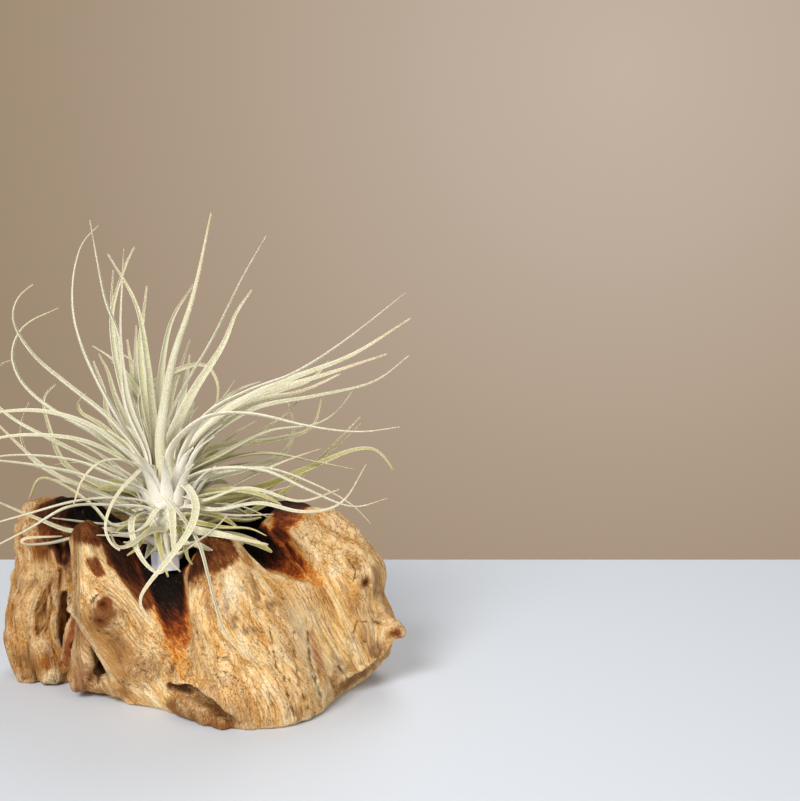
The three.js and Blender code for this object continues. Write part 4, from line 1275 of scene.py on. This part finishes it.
# %% Tag
TAG_ACROSS, TAG_TALL, TAG_CURL, TAG_THICK = 24, 10, 10.1, 0.5
TAG_AT = Vector((STEM_FOOT.x, STEM_FOOT.y, 73))
TAG_FACING, TAG_TILT = math.radians(242), math.radians(3)
TAG_CREASE = 0.22  # mm
CORNER, CORNER_CUT = 0.06, 0.22  # its corners are rounded over this share of its length, and by this much

work = bmesh.new()
bmesh.ops.create_grid(work, x_segments=40, y_segments=12, size=0.5)
for vert in work.verts:
    u, v = vert.co.x, vert.co.y + 0.5
    corner = max(0, abs(u) - 0.5 + CORNER) / CORNER
    v = 0.5 + (v - 0.5) * (1 - CORNER_CUT * corner * corner)
    turn = u * TAG_ACROSS / TAG_CURL
    away = TAG_CURL + TAG_CREASE * math.sin(5 * turn + 1) * math.sin(3.1 * v)
    flat = Vector((away * math.cos(turn), away * math.sin(turn), v * TAG_TALL))
    flat.rotate(Euler((0, 0, TAG_FACING)))
    flat.rotate(Euler((TAG_TILT, 0, 0)))
    vert.co = (flat + TAG_AT) * MM
bmesh.ops.solidify(work, geom=work.faces[:], thickness=TAG_THICK * MM)
bmesh.ops.recalc_face_normals(work, faces=work.faces)
tag = link("paper_tag", mesh_of(work, "paper_tag"))
edge_round = tag.modifiers.new("rounded edge", "BEVEL")
edge_round.width = 0.12 * MM
edge_round.segments = 2
apply_modifiers(tag)
tag_mesh = tag.data
for face in tag_mesh.polygons:
    face.use_smooth = True

bare_paper, tree = blank_material("bare coated paper")
place_in = add(tree, "ShaderNodeTexCoord").outputs["Object"]
pulp, cloud = (add(tree, "ShaderNodeTexNoise", {"Vector": place_in, "Scale": 1 / (size * MM)}).outputs["Fac"]
               for size in (0.6, 6))
tinted = mix(ranged(cloud, 0.4, 0.6), "#E9E8EC", "#DAD6DE")
soiled = mix(ranged(pulp, 0.6, 0.75, 0.0, 0.3), tinted, "#B9AFA8")
shade(tree, {"Base Color": soiled, "Roughness": 0.5, "Normal": bump(tree, pulp, 0.2, 0.05)})
tag_mesh.materials.append(bare_paper)
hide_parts("plant_tag")
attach(tag, "root")
print("tag:", len(tag_mesh.polygons), "faces")

# %% [markdown]
# The plant stands on a pale table, and a brown wall shows behind it. The table is one plain plane that
# ends behind the plant. The wall is a plain sheet far back that glows with its own soft light,
# brightest at the upper right, and is hidden from the plant, so that it lights nothing. Both are only
# there to look at the plant with.

# %% Table and room
TABLE_END = 0.252  # m behind the plant
TABLE = [(-2.5, -2.5, 0), (2.5, -2.5, 0), (2.5, TABLE_END, 0), (-2.5, TABLE_END, 0)]  # m
WALL_BACK = 2.5  # m
WALL = [(-4, WALL_BACK, -2.5), (4, WALL_BACK, -2.5), (4, WALL_BACK, 3.5), (-4, WALL_BACK, 3.5)]
WALL_BRIGHTEST = (0.64, WALL_BACK, 0.54)


def sheet(name, corners, material):
    work = bmesh.new()
    work.faces.new([work.verts.new(corner) for corner in corners])
    mesh = mesh_of(work, name)
    mesh.materials.append(material)
    return link(name, mesh)


pale_table, tree = blank_material("pale table")
shade(tree, {"Base Color": linear("#D4D8DB"), "Roughness": 0.55})
floor = sheet("floor", TABLE, pale_table)

glowing_brown_wall, tree = blank_material("glowing brown wall")
from_light = add(tree, "ShaderNodeVectorMath", {0: add(tree, "ShaderNodeTexCoord").outputs["Object"],
                                                1: WALL_BRIGHTEST}, operation="DISTANCE").outputs["Value"]
# a painted pool of light: the wall glows brightest at the upper right and darker away from it
painted_wall_light = ramp(ranged(from_light, 0.0, 2.0), [
    (0.0, "#C5B3A4"), (0.22, "#BDAB9B"), (0.4, "#B4A18E"), (0.58, "#AA9681"), (0.8, "#9E8A72")])
glow = add(tree, "ShaderNodeEmission", {"Color": painted_wall_light, "Strength": 1.0}).outputs["Emission"]
add(tree, "ShaderNodeOutputMaterial", {"Surface": glow})
wall = sheet("wall", WALL, glowing_brown_wall)
wall.visible_diffuse = False
wall.visible_glossy = False
wall.visible_shadow = False

world = bpy.data.worlds.new("room")
world.use_nodes = True
world.node_tree.nodes.clear()
sky = add(world.node_tree, "ShaderNodeBackground", {"Color": linear("#C4C0BC"), "Strength": 0.45})
add(world.node_tree, "ShaderNodeOutputWorld", {"Surface": sky.outputs["Background"]})
bpy.context.scene.world = world
print("table ends", TABLE_END, "m behind the plant")

# %% [markdown]
# The light is a large window in front and to the left, high up. A weaker one on the right keeps the
# shadows readable, and a third from behind picks out the leaves' edges.

# %% Lights
LIGHTS = [  # name, place in m, size in m, watts, colour
    ("window", (-0.6, -1.25, 1.15), 0.7, 31, "#FAFBFF"),
    ("room side", (1.2, -1.0, 0.7), 1.2, 9, "#F8F9FF"),
    ("behind", (0.25, 1.1, 1.2), 0.9, 9, "#FAFBFF"),
]
LIT = Vector((0, 0, 0.1))  # m: they all face this spot
for name, at, size, watts, colour in LIGHTS:
    lamp = bpy.data.lights.new(name, "AREA")
    lamp.size = size
    lamp.energy = watts
    lamp.color = linear(colour)[:3]
    holder = bpy.data.objects.new(name, lamp)
    holder.location = at
    holder.rotation_euler = (LIT - Vector(at)).to_track_quat("-Z", "Y").to_euler()
    bpy.context.scene.collection.objects.link(holder)
bpy.context.scene.view_settings.view_transform = "Standard"
print(len(LIGHTS), "lights")
